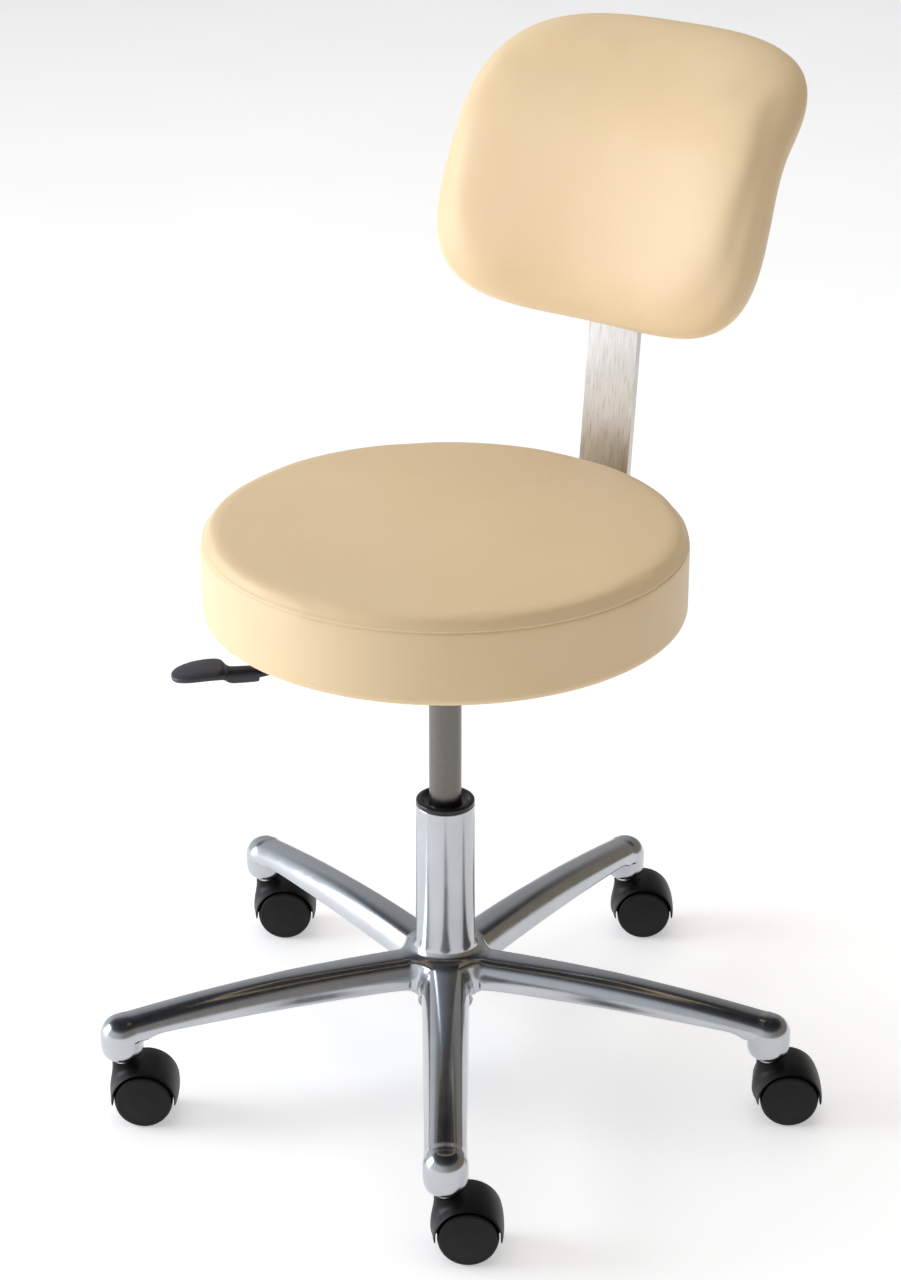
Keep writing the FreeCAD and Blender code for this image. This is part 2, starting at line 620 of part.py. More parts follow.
def bolt(name, seat_height, **spot):
    """A pan-head bolt pointing up: its head hangs below the given height."""
    tip = "bolt_grip + plate_thick"
    return turned(name, [("0", "-bolt_head_thick"), ("bolt_head_radius", "-bolt_head_thick"),
                         ("bolt_head_radius", "0"), ("bolt_radius", "0"), ("bolt_radius", tip), ("0", tip)],
                  z=seat_height, **spot)


def build_plate():
    low = "seat_bottom + vinyl - plate_thick"
    plate = block("plate_blank", "plate_side", "plate_side", "plate_thick", z=low)
    holes = []
    bolts = []
    channel_bolts = []
    for i, (x, y, owner) in enumerate(bolt_spots()):
        if owner == "plate":
            holes.append(cylinder("plate_hole_%d" % i, "bolt_radius", "3 * plate_thick", x=x, y=y,
                                  z=low + " - plate_thick"))
            bolts.append(bolt("plate_bolt_%d" % i, low, x=x, y=y))
        else:
            channel_bolts.append(bolt("channel_bolt_%d" % i, "seat_bottom + vinyl - channel_wall", x=x, y=y))
    node(cut("seat_mount_plate", plate, holes), "seat_mount_plate")
    node(group("plate_screws", bolts), "plate_screws")
    node(group("channel_screws", channel_bolts), "channel_screws")


# ---------------------------------------------------------------- back bar and its channels

def channel(name, length, bolt_along, standoff):
    """A welded guide for the bar: its mounting face at z 0, its length along Y, the knob side up."""
    half = "(bar_width / 2 + channel_gap)"
    low = "(%s - channel_gap)" % standoff
    high = "(%s + bar_thick + channel_gap)" % standoff
    outer = block(name + "_outer", "2 * (%s + channel_wall)" % half, length, high + " + channel_wall")
    flange = block(name + "_flange", "2 * channel_flange", length, "channel_wall")
    nut = cylinder(name + "_nut", "weld_nut_radius", "channel_wall + weld_nut_thick", z=high)
    solid = joined(name + "_solid", [outer, flange, nut])
    past = length + " + 2 * over"
    tools = [block(name + "_room", "2 * " + half, past, "bar_thick + 2 * channel_gap", z=low)]
    if size(standoff) > size("3 * channel_wall"):
        tools.append(block(name + "_gap", "2 * " + half, past, low + " - 2 * channel_wall", z="channel_wall"))
    tools.append(cylinder(name + "_stud_hole", "stud_radius + running_gap", "4 * weld_nut_thick",
                          z=high + " - over"))
    for i, (sx, sy) in enumerate(((-1, -1), (1, -1), (-1, 1), (1, 1))):
        tools.append(cylinder("%s_bolt_hole_%d" % (name, i), "bolt_radius", "3 * channel_wall",
                              x="%d * channel_bolt" % sx, y="%d * %s" % (sy, bolt_along), z="-channel_wall"))
    return cut(name + "_piece", solid, tools)


def knob_base(standoff):
    return "(%s + bar_thick + channel_gap + channel_wall + weld_nut_thick + knob_clear)" % standoff


def knob(name, standoff):
    """A fluted hand knob above a channel, in the channel's own frame."""
    recess = "knob_thick - knob_rim"
    grip = turned(name + "_grip", [("stud_radius", "0"), ("knob_collar", "0"), ("knob_radius", "knob_rim"),
                                   ("knob_radius", recess), ("knob_face", "knob_thick"), ("0", "knob_thick"),
                                   ("0", recess), ("stud_radius", recess)], z=knob_base(standoff))
    flutes = []
    for i in range(int(size("knob_flutes"))):
        angle = 360.0 / size("knob_flutes") * i
        flutes.append(cylinder("%s_flute_%d" % (name, i), "knob_flute_radius", "knob_thick + 2 * over",
                               x="(knob_radius + knob_flute_out) * cos(%g)" % angle,
                               y="(knob_radius + knob_flute_out) * sin(%g)" % angle,
                               z=knob_base(standoff) + " - over"))
    return cut(name + "_piece", grip, flutes)


def stud(name, standoff):
    """The knob's stud, whose tip stops just short of the bar."""
    tip = "(%s + bar_thick + stud_clear)" % standoff
    length = "%s + knob_thick - knob_rim - %s" % (knob_base(standoff), tip)
    return cylinder(name + "_shank", "stud_radius", length, z=tip)


def build_seat_channel():
    spot = {"y": "seat_channel_start + seat_channel_long / 2", "z": "seat_bottom + vinyl",
            "turn": about(Y_AXIS, 180)}
    standoff = "(channel_wall + channel_gap)"
    guide = channel("seat_channel", "seat_channel_long", "seat_channel_bolt", standoff)
    node(in_frame(guide, "bar_channel", **spot), "bar_channel")
    node(in_frame(knob("depth_knob", standoff), "depth_knob_placed", **spot), "depth_knob")
    node(in_frame(stud("depth_stud", standoff), "depth_knob_stud", **spot), "depth_knob_stud")


def offset_corner(y, z, angle_in, angle_out, side):
    """The corner of a bent strip's outline, half a thickness to one side of its centre line."""
    reach = "%+d * bar_thick / 2 / cos((%s - (%s)) / 2)" % (side, angle_in, angle_out)
    mean = "((%s + %s) / 2)" % (angle_in, angle_out)
    return ("%s - (%s) * sin(%s)" % (y, reach, mean), "%s + (%s) * cos(%s)" % (z, reach, mean))


def bar_top_y():
    return "bar_corner + (bar_upper_corner - bar_height) * tan(bar_lean)"


def build_bar():
    upright = "(90 - bar_lean)"
    upper = "(90 - bar_upper_lean)"
    end_y = "%s + (bar_top - bar_upper_corner) * tan(bar_upper_lean)" % bar_top_y()
    inner = [offset_corner("bar_leg_start", "bar_height", "0", "0", 1),
             offset_corner("bar_corner", "bar_height", "0", upright, 1),
             offset_corner(bar_top_y(), "bar_upper_corner", upright, upper, 1),
             offset_corner(end_y, "bar_top", upper, upper, 1)]
    outer = [offset_corner(end_y, "bar_top", upper, upper, -1),
             offset_corner(bar_top_y(), "bar_upper_corner", upright, upper, -1),
             offset_corner("bar_corner", "bar_height", "0", upright, -1),
             offset_corner("bar_leg_start", "bar_height", "0", "0", -1)]
    bar = extruded("back_bar", inner + outer, "bar_width", "YZ_Plane")
    for corner, radius in ((inner[1], "bar_bend"), (outer[2], "bar_bend + bar_thick"),
                           (inner[2], "bar_upper_bend + bar_thick"), (outer[1], "bar_upper_bend")):
        round_edges(bar, radius, edge_near(corner))
    node(bar, "back_bar")


def edge_near(corner):
    """Picks the straight edge along X through a corner of a side outline."""
    y, z = size(corner[0]), size(corner[1])

    def wanted(edge):
        centre = edge.CenterOfMass
        straight = isinstance(edge.Curve, Part.Line) and abs(edge.tangentAt(edge.FirstParameter).x) > PARALLEL
        return straight and math.hypot(centre.y - y, centre.z - z) < 0.5
    return wanted


# ---------------------------------------------------------------- backrest

PAD_LOWER = "(90 - pad_lower_lean)"
PAD_UPPER = "(90 - pad_upper_lean)"
PAD_BEND_Y = "(pad_y + pad_lower_long * sin(pad_lower_lean))"
PAD_BEND_Z = "(pad_z + pad_lower_long * cos(pad_lower_lean))"
PAD_TOP_Y = "(%s + pad_upper_long * sin(pad_upper_lean))" % PAD_BEND_Y
PAD_TOP_Z = "(%s + pad_upper_long * cos(pad_upper_lean))" % PAD_BEND_Z


def side_point(y, z, angle_in, angle_out, reach):
    """A corner of the pad's side outline, a distance in front (+) of its centre line."""
    slant = "(%s) / cos((%s - %s) / 2)" % (reach, angle_in, angle_out)
    mean = "((%s + %s) / 2)" % (angle_in, angle_out)
    return ("%s - %s * sin(%s)" % (y, slant, mean), "%s + %s * cos(%s)" % (z, slant, mean))


WRAP_Y = "(pad_y + pad_rise_y - wrap_radius)"


def wrapped(name, corners, sweep):
    """A side outline swept sideways about the upright axis in front of the backrest."""
    shifted = [("%s - %s" % (y, WRAP_Y), z) for y, z in corners]
    body = DOC.addObject("PartDesign::Body", name)
    sketch = outline_sketch(body, name + "_outline", shifted, "YZ_Plane")
    revolved = body.newObject("PartDesign::Revolution", name + "_swept")
    revolved.Profile = sketch
    revolved.ReferenceAxis = (sketch, ["V_Axis"])
    revolved.Midplane = True
    bind(revolved, "Angle", sweep)
    body.Tip = revolved
    return place(body, y=WRAP_Y)


def arc_through(corner):
    """Picks the swept edge that one corner of the side outline makes."""
    radius = size("%s - %s" % (corner[0], WRAP_Y))
    height = size(corner[1])

    def wanted(edge):
        curve = edge.Curve
        if not isinstance(curve, Part.Circle):
            return False
        return abs(curve.Radius - radius) < 0.05 and abs(curve.Center.z - height) < 0.05
    return wanted


def along_y(edge):
    return isinstance(edge.Curve, Part.Line) and abs(edge.tangentAt(edge.FirstParameter).y) > PARALLEL


def pad_form(name, inset):
    """The backrest's outer form, or the same form inset by one thickness of vinyl."""
    front = "(pad_thick / 2 - %s)" % inset
    back = "(-pad_thick / 2 + %s)" % inset
    low_y = "(pad_y + %s * sin(pad_lower_lean))" % inset
    low_z = "(pad_z + %s * cos(pad_lower_lean))" % inset
    top_y = "(%s - %s * sin(pad_upper_lean))" % (PAD_TOP_Y, inset)
    top_z = "(%s - %s * cos(pad_upper_lean))" % (PAD_TOP_Z, inset)
    corners = [side_point(low_y, low_z, PAD_LOWER, PAD_LOWER, front),
               side_point(PAD_BEND_Y, PAD_BEND_Z, PAD_LOWER, PAD_UPPER, front),
               side_point(top_y, top_z, PAD_UPPER, PAD_UPPER, front),
               side_point(top_y, top_z, PAD_UPPER, PAD_UPPER, back),
               side_point(PAD_BEND_Y, PAD_BEND_Z, PAD_LOWER, PAD_UPPER, back),
               side_point(low_y, low_z, PAD_LOWER, PAD_LOWER, back)]
    sweep = wrapped(name + "_sweep", corners, "pad_sweep")
    for i in (0, 2, 3, 5):
        round_edges(sweep, "pad_end_round - %s" % inset, arc_through(corners[i]))
    round_edges(sweep, "pad_bend + pad_thick / 2 - %s" % inset, arc_through(corners[1]))
    round_edges(sweep, "pad_bend - pad_thick / 2 + %s" % inset, arc_through(corners[4]))
    prism_corners = [("-(pad_bottom_half - %s)" % inset, "pad_prism_bottom + %s" % inset),
                     ("pad_bottom_half - %s" % inset, "pad_prism_bottom + %s" % inset),
                     ("pad_top_half - %s" % inset, "pad_prism_top - %s" % inset),
                     ("-(pad_top_half - %s)" % inset, "pad_prism_top - %s" % inset)]
    prism = extruded(name + "_prism", prism_corners, "8 * pad_thick", y="pad_y + 2 * pad_rise_y")
    round_edges(prism, "pad_corner - %s" % inset, along_y)
    result = DOC.addObject("Part::Common", name)
    result.Base = sweep
    result.Tool = prism
    return result


def on_pad_back(feature, name):
    """A piece built on the mounting face, placed on the backrest's rear face."""
    lean = size("pad_lower_lean")
    outward = Vec(0, math.cos(math.radians(lean)), -math.sin(math.radians(lean)))
    upward = Vec(0, math.sin(math.radians(lean)), math.cos(math.radians(lean)))
    turn = FreeCAD.Rotation(-X_AXIS, upward, outward, "ZYX")
    reach = "(pad_thick / 2 + pad_face_gap)"
    y = "pad_y + %s * cos(pad_lower_lean) + back_channel_along * sin(pad_lower_lean)" % reach
    z = "pad_z - %s * sin(pad_lower_lean) + back_channel_along * cos(pad_lower_lean)" % reach
    return in_frame(feature, name, y=y, z=z, turn=turn)


def back_bolt_spots():
    return [("%d * channel_bolt" % sx, "%d * back_channel_bolt" % sy) for sx in (-1, 1) for sy in (-1, 1)]


def back_board(name):
    """Curved plywood strip behind the foam, up to where the pad bends back."""
    deep = "(-pad_thick / 2 + vinyl + back_board_thick)"
    rear = "(-pad_thick / 2 + vinyl)"
    ends = []
    for along in ("back_board_margin", "back_board_long"):
        ends.append(("(pad_y + %s * sin(pad_lower_lean))" % along,
                     "(pad_z + %s * cos(pad_lower_lean))" % along))
    low, high = ends
    corners = [side_point(*low, PAD_LOWER, PAD_LOWER, deep), side_point(*high, PAD_LOWER, PAD_LOWER, deep),
               side_point(*high, PAD_LOWER, PAD_LOWER, rear), side_point(*low, PAD_LOWER, PAD_LOWER, rear)]
    return wrapped(name, corners, "back_board_sweep")


def back_bolt_holes():
    """Made on the mounting face: holes through vinyl and board, the nuts in the board, and the bolts."""
    depth = "(back_board_thick + 2 * vinyl)"
    flange = "(nut_flange_thick - back_board_thick)"
    nut_outline = [("bolt_radius", "-back_board_thick"), ("nut_flange", "-back_board_thick"),
                   ("nut_flange", flange), ("nut_barrel", flange), ("nut_barrel", "-back_nut_short"),
                   ("bolt_radius", "-back_nut_short")]
    vinyl_holes = []
    board_holes = []
    nuts = []
    bolts = []
    for i, (x, y) in enumerate(back_bolt_spots()):
        spot = {"x": x, "y": y}
        vinyl_holes.append(cylinder("vinyl_hole_%d" % i, "bolt_radius + bolt_clear", "6 * vinyl",
                                    z="-5 * vinyl", **spot))
        board_holes.append(cylinder("back_hole_%d" % i, "nut_barrel", "2 * " + depth, z="-1.5 * " + depth,
                                    **spot))
        board_holes.append(cylinder("back_sink_%d" % i, "nut_flange", "%s + 3 * over + %s" % (depth, flange),
                                    z="-(%s + 3 * over)" % depth, **spot))
        nuts.append(turned("back_nut_%d" % i, nut_outline, **spot))
        bolts.append(bolt("back_bolt_%d" % i, "channel_wall", turn=about(X_AXIS, 180), **spot))
    return vinyl_holes, board_holes, nuts, bolts


def build_backrest():
    vinyl_holes, board_holes, nuts, bolts = back_bolt_holes()
    vinyl_tool = on_pad_back(group("vinyl_holes", vinyl_holes), "vinyl_holes_placed")
    board_tool = on_pad_back(group("back_holes", board_holes), "back_holes_placed")
    node(cut("backrest_cover", pad_form("back_outer", "0"), [pad_form("back_inner", "vinyl"), vinyl_tool]),
         "backrest_cover")
    board_space = back_board("foam_board_space")
    node(cut("backrest_foam", pad_form("back_foam_form", "vinyl"), [board_space]), "backrest_foam")
    node(cut("backrest_board", back_board("board_strip"), [board_tool]), "backrest_board")
    node(on_pad_back(group("back_nuts", nuts), "back_nuts_placed"), "backrest_t_nuts")
    node(on_pad_back(group("back_bolts", bolts), "back_bolts_placed"), "backrest_screws")
    guide = channel("back_channel", "back_channel_long", "back_channel_bolt", "back_standoff")
    node(on_pad_back(guide, "back_channel_placed"), "backrest_bracket")
    node(on_pad_back(knob("height_knob", "back_standoff"), "height_knob_placed"), "height_knob")
    node(on_pad_back(stud("height_stud", "back_standoff"), "height_stud_placed"), "height_knob_stud")


# ---------------------------------------------------------------- build, check and export

def failures():
    bad = [item.Label for item in DOC.Objects if "Invalid" in item.State or "Error" in item.State]
    for piece in NODES:
        shape = piece.Shape
        if shape.isNull() or not shape.isValid() or not shape.Solids:
            bad.append(piece.Label)
    return bad


def export():
    os.makedirs("parts", exist_ok=True)
    for piece in NODES:
        piece.Shape.exportStep("parts/%s.step" % piece.Label)
        shape = piece.Shape
        print("%-22s solids %2d  volume %9.0f mm3" % (piece.Label, len(shape.Solids), shape.Volume))


fill_sheet()
build_base()
build_stems()
build_casters()
build_lift()
build_mechanism()
build_lever()
build_seat()
build_seat_channel()
build_bar()
build_backrest()
DOC.recompute()
BAD = failures()
if BAD:
    raise SystemExit("failed: " + ", ".join(BAD))
export()
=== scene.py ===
"""The looks of the dentist stool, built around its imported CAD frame. Metres, +Z up, the seat faces -Y."""
import json
import math

import bmesh
import bpy
import numpy as np
from mathutils import Matrix, Vector
from mathutils.bvhtree import BVHTree


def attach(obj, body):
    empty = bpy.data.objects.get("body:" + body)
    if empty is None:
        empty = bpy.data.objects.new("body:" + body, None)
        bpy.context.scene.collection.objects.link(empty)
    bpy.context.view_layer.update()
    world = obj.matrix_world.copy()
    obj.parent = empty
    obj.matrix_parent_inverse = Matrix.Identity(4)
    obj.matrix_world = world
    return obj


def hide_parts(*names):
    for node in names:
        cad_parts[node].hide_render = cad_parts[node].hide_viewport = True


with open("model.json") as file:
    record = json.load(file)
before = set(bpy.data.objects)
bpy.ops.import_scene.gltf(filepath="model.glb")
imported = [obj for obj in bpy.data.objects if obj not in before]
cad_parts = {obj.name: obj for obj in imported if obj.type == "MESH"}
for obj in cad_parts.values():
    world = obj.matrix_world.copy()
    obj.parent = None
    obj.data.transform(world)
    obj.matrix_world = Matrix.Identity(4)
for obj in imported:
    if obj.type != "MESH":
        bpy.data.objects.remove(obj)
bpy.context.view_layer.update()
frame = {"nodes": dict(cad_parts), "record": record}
NODES = frame["nodes"]
MM = 0.001
LEG_COUNT = 5
LEG_STEP = math.tau / LEG_COUNT
FIRST_LEG = math.radians(36 - 90)                             # 36 degrees round from the front, -Y
VIEW_AZIMUTH = math.radians(36)
LEFT = (-math.cos(VIEW_AZIMUTH), -math.sin(VIEW_AZIMUTH))     # the camera's left, level with the floor


# ---------------------------------------------------------------- camera, floor and lights

def make_camera():
    """Seen from the sitter's front left, looking down on the seat through a long lens."""
    distance, height = 2.3468, 1.4602
    pitch, yaw = math.radians(24.12), 0.0019
    data = bpy.data.cameras.new("camera")
    data.lens = 85.93
    camera = bpy.data.objects.new("camera", data)
    camera.location = (distance * math.sin(VIEW_AZIMUTH), -distance * math.cos(VIEW_AZIMUTH), height)
    camera.rotation_euler = (math.pi / 2 - pitch, 0, VIEW_AZIMUTH - yaw)
    bpy.context.scene.collection.objects.link(camera)
    bpy.context.scene.camera = camera


def area_light(name, place, target, width, tall, power, colour):
    data = bpy.data.lights.new(name, "AREA")
    data.shape = "RECTANGLE"
    data.size = width
    data.size_y = tall
    data.energy = power
    data.color = colour
    lamp = bpy.data.objects.new(name, data)
    lamp.location = place
    lamp.rotation_euler = (Vector(target) - lamp.location).to_track_quat("-Z", "Y").to_euler()
    bpy.context.scene.collection.objects.link(lamp)
    return lamp


def make_world():
    """A studio with bright walls and a dark ceiling; the wall at the camera's left is the brightest."""
    world = bpy.data.worlds.new("studio")
    bpy.context.scene.world = world
    world.use_nodes = True
    net = Net(world.node_tree)
    back = net.tree.nodes["Background"]
    direction = net.node("ShaderNodeTexCoord").outputs["Generated"]
    parts = net.node("ShaderNodeSeparateXYZ", Vector=direction)
    walls = net.ramp(net.maths("MULTIPLY_ADD", parts.outputs["Z"], 0.5, 0.5),
                     [(0.0, (0.55, 0.56, 0.58)), (0.48, (0.70, 0.71, 0.73)), (0.55, (0.92, 0.93, 0.95)),
                      (0.74, (0.85, 0.87, 0.90)), (0.84, (0.13, 0.14, 0.16)), (1.0, (0.05, 0.055, 0.065))])
    aside = net.maths("ADD", net.maths("MULTIPLY", parts.outputs["X"], LEFT[0]),
                      net.maths("MULTIPLY", parts.outputs["Y"], LEFT[1]))
    side = net.ramp(net.maths("MULTIPLY_ADD", aside, 0.5, 0.5),
                    [(0.0, (0.36, 0.30, 0.22)), (0.35, (0.46, 0.43, 0.39)), (0.65, (0.86, 0.86, 0.86)),
                     (1.0, (1.22, 1.25, 1.30))])
    net.link(net.mix(1.0, walls, side, "MULTIPLY"), back.inputs["Color"])
    back.inputs["Strength"].default_value = 0.78


def make_floor():
    mesh = bpy.data.meshes.new("studio_floor")
    half = 12.0
    corners = [(-half, -half, 0), (half, -half, 0), (half, half, 0), (-half, half, 0)]
    mesh.from_pydata(corners, [], [(0, 1, 2, 3)])
    floor = bpy.data.objects.new("studio_floor", mesh)
    bpy.context.scene.collection.objects.link(floor)
    floor.data.materials.append(floor_material())


# ---------------------------------------------------------------- shader helpers

class Net:
    """A node tree with short calls to add nodes and links."""

    def __init__(self, tree):
        self.tree = tree

    def node(self, kind, **inputs):
        made = self.tree.nodes.new(kind)
        for name, value in inputs.items():
            socket = made.inputs[name.replace("_", " ")]
            if isinstance(value, bpy.types.NodeSocket):
                self.tree.links.new(value, socket)
            else:
                socket.default_value = value
        return made

    def link(self, a, b):
        self.tree.links.new(a, b)

    def maths(self, operation, *values):
        made = self.tree.nodes.new("ShaderNodeMath")
        made.operation = operation
        for i, value in enumerate(values):
            if isinstance(value, bpy.types.NodeSocket):
                self.link(value, made.inputs[i])
            else:
                made.inputs[i].default_value = value
        return made.outputs[0]

    def ramp(self, factor, stops):
        made = self.tree.nodes.new("ShaderNodeValToRGB")
        ramp = made.color_ramp
        while len(ramp.elements) < len(stops):
            ramp.elements.new(0.5)
        for element, (place, colour) in zip(ramp.elements, stops):
            element.position = place
            element.color = (*colour, 1)
        self.link(factor, made.inputs[0])
        return made.outputs[0]

    def mix(self, factor, a, b, blend="MIX"):
        made = self.tree.nodes.new("ShaderNodeMix")
        made.data_type = "RGBA"
        made.blend_type = blend
        for socket, value in ((made.inputs[0], factor), (made.inputs[6], a), (made.inputs[7], b)):
            if isinstance(value, bpy.types.NodeSocket):
                self.link(value, socket)
            else:
                socket.default_value = value if isinstance(value, float) else (*value, 1)
        return made.outputs[2]

    def noise(self, scale, detail=4.0, rough=0.5, stretch=(1, 1, 1)):
        """Noise in object space; scale is in features per metre."""
        place = self.node("ShaderNodeTexCoord").outputs["Object"]
        mapping = self.node("ShaderNodeMapping", Vector=place, Scale=stretch).outputs[0]
        made = self.node("ShaderNodeTexNoise", Vector=mapping, Scale=scale, Detail=detail, Roughness=rough)
        return made.outputs[0]


def material(name):
    made = bpy.data.materials.new(name)
    made.use_nodes = True
    net = Net(made.node_tree)
    return made, net, made.node_tree.nodes["Principled BSDF"]


def set_values(shader, **values):
    for name, value in values.items():
        shader.inputs[name.replace("_", " ")].default_value = value


def add_bump(net, shader, height, depth, strength=1.0):
    bump = net.node("ShaderNodeBump", Height=height, Distance=depth, Strength=strength)
    net.link(bump.outputs[0], shader.inputs["Normal"])


def span(net, value, low, high):
    """Noise, which keeps near one half, spread over a range from low to high."""
    made = net.tree.nodes.new("ShaderNodeMapRange")
    made.inputs["From Min"].default_value = 0.3
    made.inputs["From Max"].default_value = 0.7
    made.inputs["To Min"].default_value = low
    made.inputs["To Max"].default_value = high
    net.link(value, made.inputs["Value"])
    return made.outputs[0]


def floor_material():
    made, net, shader = material("pale_floor")
    tone = net.mix(span(net, net.noise(3.0), 0.0, 1.0), (0.86, 0.86, 0.86), (0.88, 0.88, 0.88))
    net.link(tone, shader.inputs["Base Color"])
    net.link(tone, shader.inputs["Emission Color"])
    set_values(shader, Roughness=0.7, Emission_Strength=0.50)
    return made


def vinyl_material():
    """Smooth upholstery vinyl: a fine pebbled grain, faint wrinkling and a soft sheen."""
    made, net, shader = material("cream_vinyl")
    broad = span(net, net.noise(9.0, 3.0), 0.0, 1.0)
    tone = net.mix(broad, (0.815, 0.620, 0.370), (0.845, 0.650, 0.400))
    pores = net.noise(1500.0, 2.0, 0.6)
    tone = net.mix(span(net, pores, 0.0, 0.12), tone, (0.69, 0.49, 0.27))
    net.link(tone, shader.inputs["Base Color"])
    net.link(span(net, net.noise(160.0, 4.0), 0.40, 0.50), shader.inputs["Roughness"])
    set_values(shader, Specular_IOR_Level=0.34, Sheen_Weight=0.10, Sheen_Roughness=0.45, Coat_Weight=0.04,
               Coat_Roughness=0.35)
    grain = net.maths("MULTIPLY_ADD", pores, 0.6, net.maths("MULTIPLY", net.noise(420.0, 5.0, 0.6), 0.6))
    add_bump(net, shader, grain, 0.00012, 0.5)
    return made


def polished_material():
    """Mirror-polished cast aluminium with a faint, uneven polishing haze."""
    made, net, shader = material("polished_aluminium")
    tone = net.mix(span(net, net.noise(30.0), 0.0, 1.0), (0.49, 0.51, 0.54), (0.54, 0.56, 0.59))
    net.link(tone, shader.inputs["Base Color"])
    haze = net.maths("ADD", span(net, net.noise(60.0, 5.0), 0.15, 0.20),
                     span(net, net.noise(900.0, 2.0, 0.5), 0.0, 0.03))
    net.link(haze, shader.inputs["Roughness"])
    set_values(shader, Metallic=1.0)
    add_bump(net, shader, net.noise(1400.0, 2.0, 0.5), 0.00001, 0.3)
    return made


def steel_material(name, light, dark, rough, stretch):
    """Bare or plated steel: fine marks, which the stretch draws out into brush lines."""
    made, net, shader = material(name)
    lines = net.noise(900.0, 3.0, 0.6, stretch)
    broad = net.noise(18.0, 3.0)
    tone = net.mix(span(net, lines, 0.0, 1.0), dark, light)
    tone = net.mix(span(net, broad, 0.0, 0.18), tone, tuple(c * 0.72 for c in dark))
    net.link(tone, shader.inputs["Base Color"])
    net.link(span(net, lines, rough - 0.05, rough + 0.07), shader.inputs["Roughness"])
    set_values(shader, Metallic=1.0)
    add_bump(net, shader, lines, 0.00003, 0.5)
    return made


def plastic_material(name, tone, rough, grain, depth, shine=0.45):
    """Moulded plastic with a fine spark-eroded texture."""
    made, net, shader = material(name)
    speckle = net.noise(grain, 3.0, 0.6)
    colour = net.mix(span(net, net.noise(40.0, 3.0), 0.0, 1.0), tone, tuple(c * 1.5 + 0.002 for c in tone))
    net.link(colour, shader.inputs["Base Color"])
    net.link(span(net, speckle, rough - 0.05, rough + 0.08), shader.inputs["Roughness"])
    set_values(shader, Specular_IOR_Level=shine)
    add_bump(net, shader, speckle, depth, 0.5)
    return made


def wood_material():
    """Plywood, near black: the grain still shows as dull streaks."""
    made, net, shader = material("near_black_plywood")
    grain = net.noise(160.0, 6.0, 0.6, (0.06, 1, 1))
    # Near-black tone, with the grain a little lighter in streaks.
    tone = net.mix(span(net, grain, 0.0, 1.0), (0.010, 0.009, 0.008), (0.035, 0.030, 0.026))
    net.link(tone, shader.inputs["Base Color"])
    net.link(span(net, grain, 0.5, 0.7), shader.inputs["Roughness"])
    add_bump(net, shader, grain, 0.0002, 0.4)
    return made


def foam_material():
    """Open-cell foam, pale yellow."""
    made, net, shader = material("seat_foam")
    cells = net.noise(1100.0, 2.0, 0.6)
    tone = net.mix(span(net, cells, 0.0, 1.0), (0.70, 0.62, 0.40), (0.86, 0.80, 0.60))
    net.link(tone, shader.inputs["Base Color"])
    set_values(shader, Roughness=0.9)
    add_bump(net, shader, cells, 0.0008, 0.8)
    return made


def make_finishes():
    """The material of each slot in the record."""
    return {
        "polished_aluminium": polished_material(),
        "bushing_plastic": plastic_material("bushing_plastic", (0.010, 0.010, 0.011), 0.22, 900.0, 0.00002),
        "caster_nylon": plastic_material("caster_nylon", (0.003, 0.003, 0.0035), 0.42, 1400.0, 0.00004, 0.25),
        "lever_plastic": plastic_material("lever_plastic", (0.026, 0.028, 0.034), 0.38, 1200.0, 0.00004),
        "knob_plastic": plastic_material("knob_plastic", (0.014, 0.014, 0.014), 0.42, 1200.0, 0.00004),
        "buffer_rubber": plastic_material("buffer_rubber", (0.015, 0.015, 0.015), 0.7, 700.0, 0.00006),
        "black_steel": plastic_material("black_paint", (0.012, 0.012, 0.012), 0.35, 500.0, 0.00003),
        "zinc_steel": steel_material("zinc_plate", (0.68, 0.68, 0.66), (0.52, 0.52, 0.50), 0.32, (1, 1, 1)),
        "gas_tube_steel": steel_material("ground_tube", (0.20, 0.185, 0.17), (0.16, 0.148, 0.136), 0.30,
                                         (1, 1, 1)),
        "bar_steel": steel_material("brushed_bar", (0.70, 0.69, 0.67), (0.56, 0.54, 0.52), 0.30,
                                    (1, 0.05, 0.05)),
        "vinyl": vinyl_material(),
        "foam": foam_material(),
        "plywood": wood_material(),
    }


# ---------------------------------------------------------------- mesh helpers

def mesh_object(name, mesh, finish):
    """A smooth-shaded object of this mesh, in one finish."""
    mesh.polygons.foreach_set("use_smooth", [True] * len(mesh.polygons))
    mesh.materials.clear()
    mesh.materials.append(finish)
    mesh.update()
    obj = bpy.data.objects.new(name, mesh)
    bpy.context.scene.collection.objects.link(obj)
    return obj


def skin(name, verts, faces, finish, crease):
    """An object of points and faces, whose shading breaks at edges sharper than the crease angle."""
    mesh = bpy.data.meshes.new(name)
    mesh.from_pydata([tuple(v) for v in verts], [], faces)
    mesh.validate()
    made = bmesh.new()
    made.from_mesh(mesh)
    bmesh.ops.remove_doubles(made, verts=made.verts, dist=1e-6)
    bmesh.ops.recalc_face_normals(made, faces=made.faces)
    made.to_mesh(mesh)
    made.free()
    obj = mesh_object(name, mesh, finish)
    mesh.set_sharp_from_angle(angle=crease)
    return obj


def coordinates(mesh):
    points = np.empty(len(mesh.vertices) * 3)
    mesh.vertices.foreach_get("co", points)
    return points.reshape(-1, 3)


def edge_ends(mesh):
    ends = np.empty(len(mesh.edges) * 2, dtype=np.int64)
    mesh.edges.foreach_get("vertices", ends)
    return ends.reshape(-1, 2)


def move_points(mesh, points):
    mesh.vertices.foreach_set("co", points.ravel())
    mesh.update()


def stands_for(obj, body, slot, *nodes):
    """Make a piece ride on its body, and show it in place of CAD nodes."""
    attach(obj, body)
    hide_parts(*nodes)


